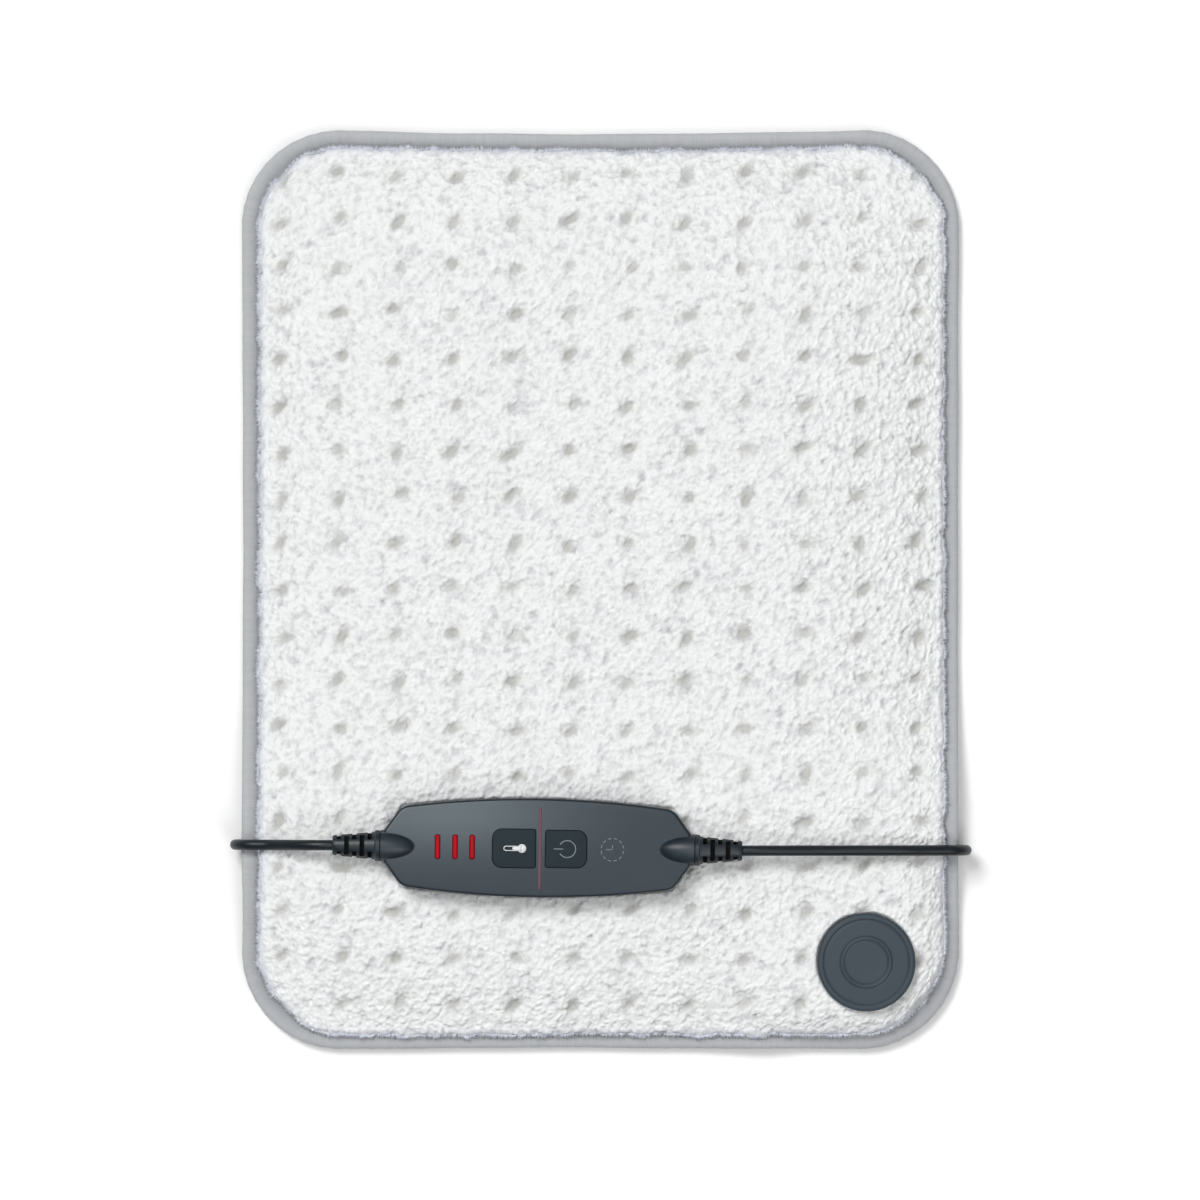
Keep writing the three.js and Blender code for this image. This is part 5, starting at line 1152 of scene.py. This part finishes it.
button_finish = moulded("button_plastic", (30, 43, 50), (35, 48, 55), roughness=0.5, shine=0.15)
white_print = moulded("white_print", (236, 238, 240), (242, 244, 245), roughness=0.55)
grey_print = moulded("grey_print", (122, 129, 135), (132, 138, 144), roughness=0.55)
for name in buttons:
    levels = [(0, pocket_floor + plate_gap)] + rounded(button_round, button_top, steps=7)
    plate = barrel(f"{name}_plate", on_case(stacked(button_loop(name, 0), levels)))
    dress(crease(plate, case_crease), button_finish, (f"{name}_button",), f"{name}_key")

bulb = arc(bulb_x, button_row, bulb_radius, 0, 360, count=49)[:-1]
stem = np.concatenate(([(bulb_x - stem_overlap, button_row - stem_half)],
                       arc(stem_left + stem_half, button_row, stem_half, 270, 90, count=24),
                       [(bulb_x - stem_overlap, button_row + stem_half)]))
thermometer = barrel("thermometer_sign", printed(bulb, print_height),
                     printed(filling + (0, button_row), print_height + print_step),
                     line_mark(stem, stem_line, print_height + 2 * print_step))
dress(thermometer, white_print, (), "temperature_key")
ring = arc(power_x, button_row, power_radius, -power_opening, power_opening, count=80)
bar = np.linspace(*[(power_x + place, button_row) for place in power_bar], 4)
power_sign = barrel("power_sign", *[line_mark(line, power_line, print_height) for line in (ring, bar)])
dress(power_sign, grey_print, (), "power_key")

# The face's print and lights. A thin red line divides the buttons, a plain clock face in dashes marks the timer,
# and three clear red bars show the setting.
divide_x, divide_half, divide_line = 0.0011, 0.0178, 0.0012
timer_x, timer_radius, timer_dashes, timer_line = 0.0326, 0.0049, 12, 0.00042
dash_first, dash_last = 6, 24
timer_hands = ((-0.0028, 0), (0, 0.002))
light_corner, light_round, light_lift, light_proud = 0.00095, 0.0008, 0.0004, 0.0004

red_print = moulded("red_print", (112, 80, 92), (120, 86, 98), roughness=0.5, shine=0.2)
divide = np.linspace(*[(divide_x, button_row + side * divide_half) for side in (-1, 1)], 24)
dress(barrel("divider_line", line_mark(divide, divide_line)), red_print)
dashes = [arc(timer_x, button_row, timer_radius, turn + dash_first, turn + dash_last, count=8)
          for turn in np.arange(timer_dashes) * 360 / timer_dashes]
hands = [np.linspace((timer_x, button_row), (timer_x + x, button_row + y), 3) for x, y in timer_hands]
timer = barrel("timer_sign", *[line_mark(line, timer_line) for line in dashes + hands])
dress(timer, grey_print)

light_finish, start = finish("red_light", Roughness=0.3, Specular_IOR_Level=0.12)
feed(light_finish, Base_Color=mix(start, noise(start, scale=300.0), (158, 8, 24), (174, 12, 30)))
light_levels = [(0, pocket_floor + light_lift)] + rounded(light_round, case_height + light_proud, steps=8)
lights = [on_case(stacked(bar_loop(place, 0, *light_half, (light_corner,) * 2), light_levels))
          for place in light_places]
dress(barrel("light_bars", *lights), light_finish, ("light_guide",))

# The strain reliefs. Black rubber boots, turned and tapered, with slots cut from the sides and from above and
# below by turns, so that they bend; each is held in its cord tunnel by a flange.
boot_base, boot_length = 0.0684, 0.0206
boot_radii = (0.0067, 0.0043)
boot_tail, boot_bore = -0.003, 0.004
boot_collar, boot_face = 0.0023, -0.00025
face_edge, collar_edge, collar_step = (0.0002, 0.0004), 0.0005, 0.0007
lip_edge, lip_middle = 0.0007, (0.0003, 0.0002)
boot_steps, boot_sides = 9, 64
slot_first, slot_width, slot_pitch, slots = 0.0044, 0.0019, 0.00665, 3
slot_floor = 0.0022
window_width, window_depth, window_share = 0.0021, 0.0004, 0.8
core_radius = 0.0026
cutter_reach = 0.02
painted_shade_levels = (0.0008, 0.0028)


def boot(end):
    """A boot: a collar, then a straight taper to a rounded lip, turned about the cord's line."""
    wide, slim = boot_radii
    profile = np.concatenate((
        [(boot_tail, boot_bore), (boot_face, boot_bore), (boot_face, wide - face_edge[1]), (face_edge[0], wide),
         (boot_collar - collar_edge, wide), (boot_collar, wide - collar_edge)],
        np.linspace((boot_collar, wide - collar_step), (boot_length - lip_edge, slim), boot_steps),
        [(boot_length - lip_middle[0], slim - lip_middle[1]), (boot_length, slim - lip_edge)]))[::end]
    angle = np.linspace(0, 2 * math.pi, boot_sides, endpoint=False)
    return np.stack((end * (boot_base + profile[:, :1]) + 0 * angle, profile[:, 1:] * np.cos(angle),
                     parting + profile[:, 1:] * np.sin(angle)), axis=-1)


def brick(middle, width, y_ends, z_ends):
    """A plain block of this width along the cord, between two places across it and two heights, as rings."""
    (y0, y1), (z0, z1) = sorted(y_ends), sorted(z_ends)
    x0, x1 = middle - width / 2, middle + width / 2
    return stacked(np.array([(x0, y0), (x1, y0), (x1, y1), (x0, y1)]), [(0, z0), (0, z1)])


boot_finish, start = finish("boot_rubber", Specular_IOR_Level=0.4)
# Painted shade: below the cord's middle, and on the floors of the slots and windows, the rubber is painted near
# black; higher up it takes its clouded colour, and its roughness falls with height.
above_painted_shade = ramp(start, own_place(start, "Z"), *(case_low[2] + parting + rise for rise in painted_shade_levels))
rubber = mix(start, noise(start, shell_cloud, detail=3.0), (28, 38, 45), (34, 44, 51))
feed(boot_finish, Base_Color=mix(start, above_painted_shade, (7, 10, 13), rubber), Roughness=0.85 - 0.47 * above_painted_shade)
for end, name in ((-1, "mains_boot"), (1, "pad_boot")):
    cuts = []
    for k in range(slots):
        middle = end * (boot_base + slot_first + k * slot_pitch)
        cuts += [brick(middle, slot_width, (side * core_radius, side * cutter_reach),
                       (parting - slot_floor, parting + cutter_reach)) for side in (-1, 1)]
        if k < slots - 1:
            middle = middle + end * slot_pitch / 2
            taper = (abs(middle) - boot_base) / boot_length
            rail = window_share * (boot_radii[0] + taper * (boot_radii[1] - boot_radii[0]))
            cuts += [brick(middle, window_width, (-rail, rail),
                           (parting + side * window_depth, parting + side * cutter_reach)) for side in (-1, 1)]
    piece = barrel(f"{name}_rubber", on_case(boot(end)))
    for cut in cuts:
        piece = carved(piece, barrel("slot", on_case(cut)), "DIFFERENCE")
    dress(crease(piece, case_crease), boot_finish, (name,))

# The circuit inside. A green board with two key switches, three lamps and the parts that switch the mains;
# the cores of both cords end in its terminals. Nothing of it shows with the case shut.
circuit = (
    ("board_green", (28, 84, 58), (36, 98, 68), 0.4, ("circuit_board",)),
    ("component_black", (30, 31, 33), (38, 39, 41), 0.45,
     ("temperature_switch", "power_switch", "microcontroller", "triac", "capacitor", "temperature_plunger",
      "power_plunger")),
    ("terminal_green", (52, 118, 84), (60, 130, 94), 0.45, ("mains_terminal", "pad_terminal")),
    ("blue_sleeve", (36, 74, 150), (44, 84, 164), 0.45, ("mains_core_1", "pad_core_1")),
    ("brown_sleeve", (96, 58, 36), (108, 68, 44), 0.45, ("mains_core_2", "pad_core_2")),
    ("fuse_glass", (190, 196, 200), (206, 210, 214), 0.15, ("fuse",)),
    ("diode_red", (150, 30, 36), (168, 38, 44), 0.3, ("light_diode_1", "light_diode_2", "light_diode_3")))
for name, dark, light, roughness, nodes in circuit:
    coat(moulded(name, dark, light, roughness), *nodes)
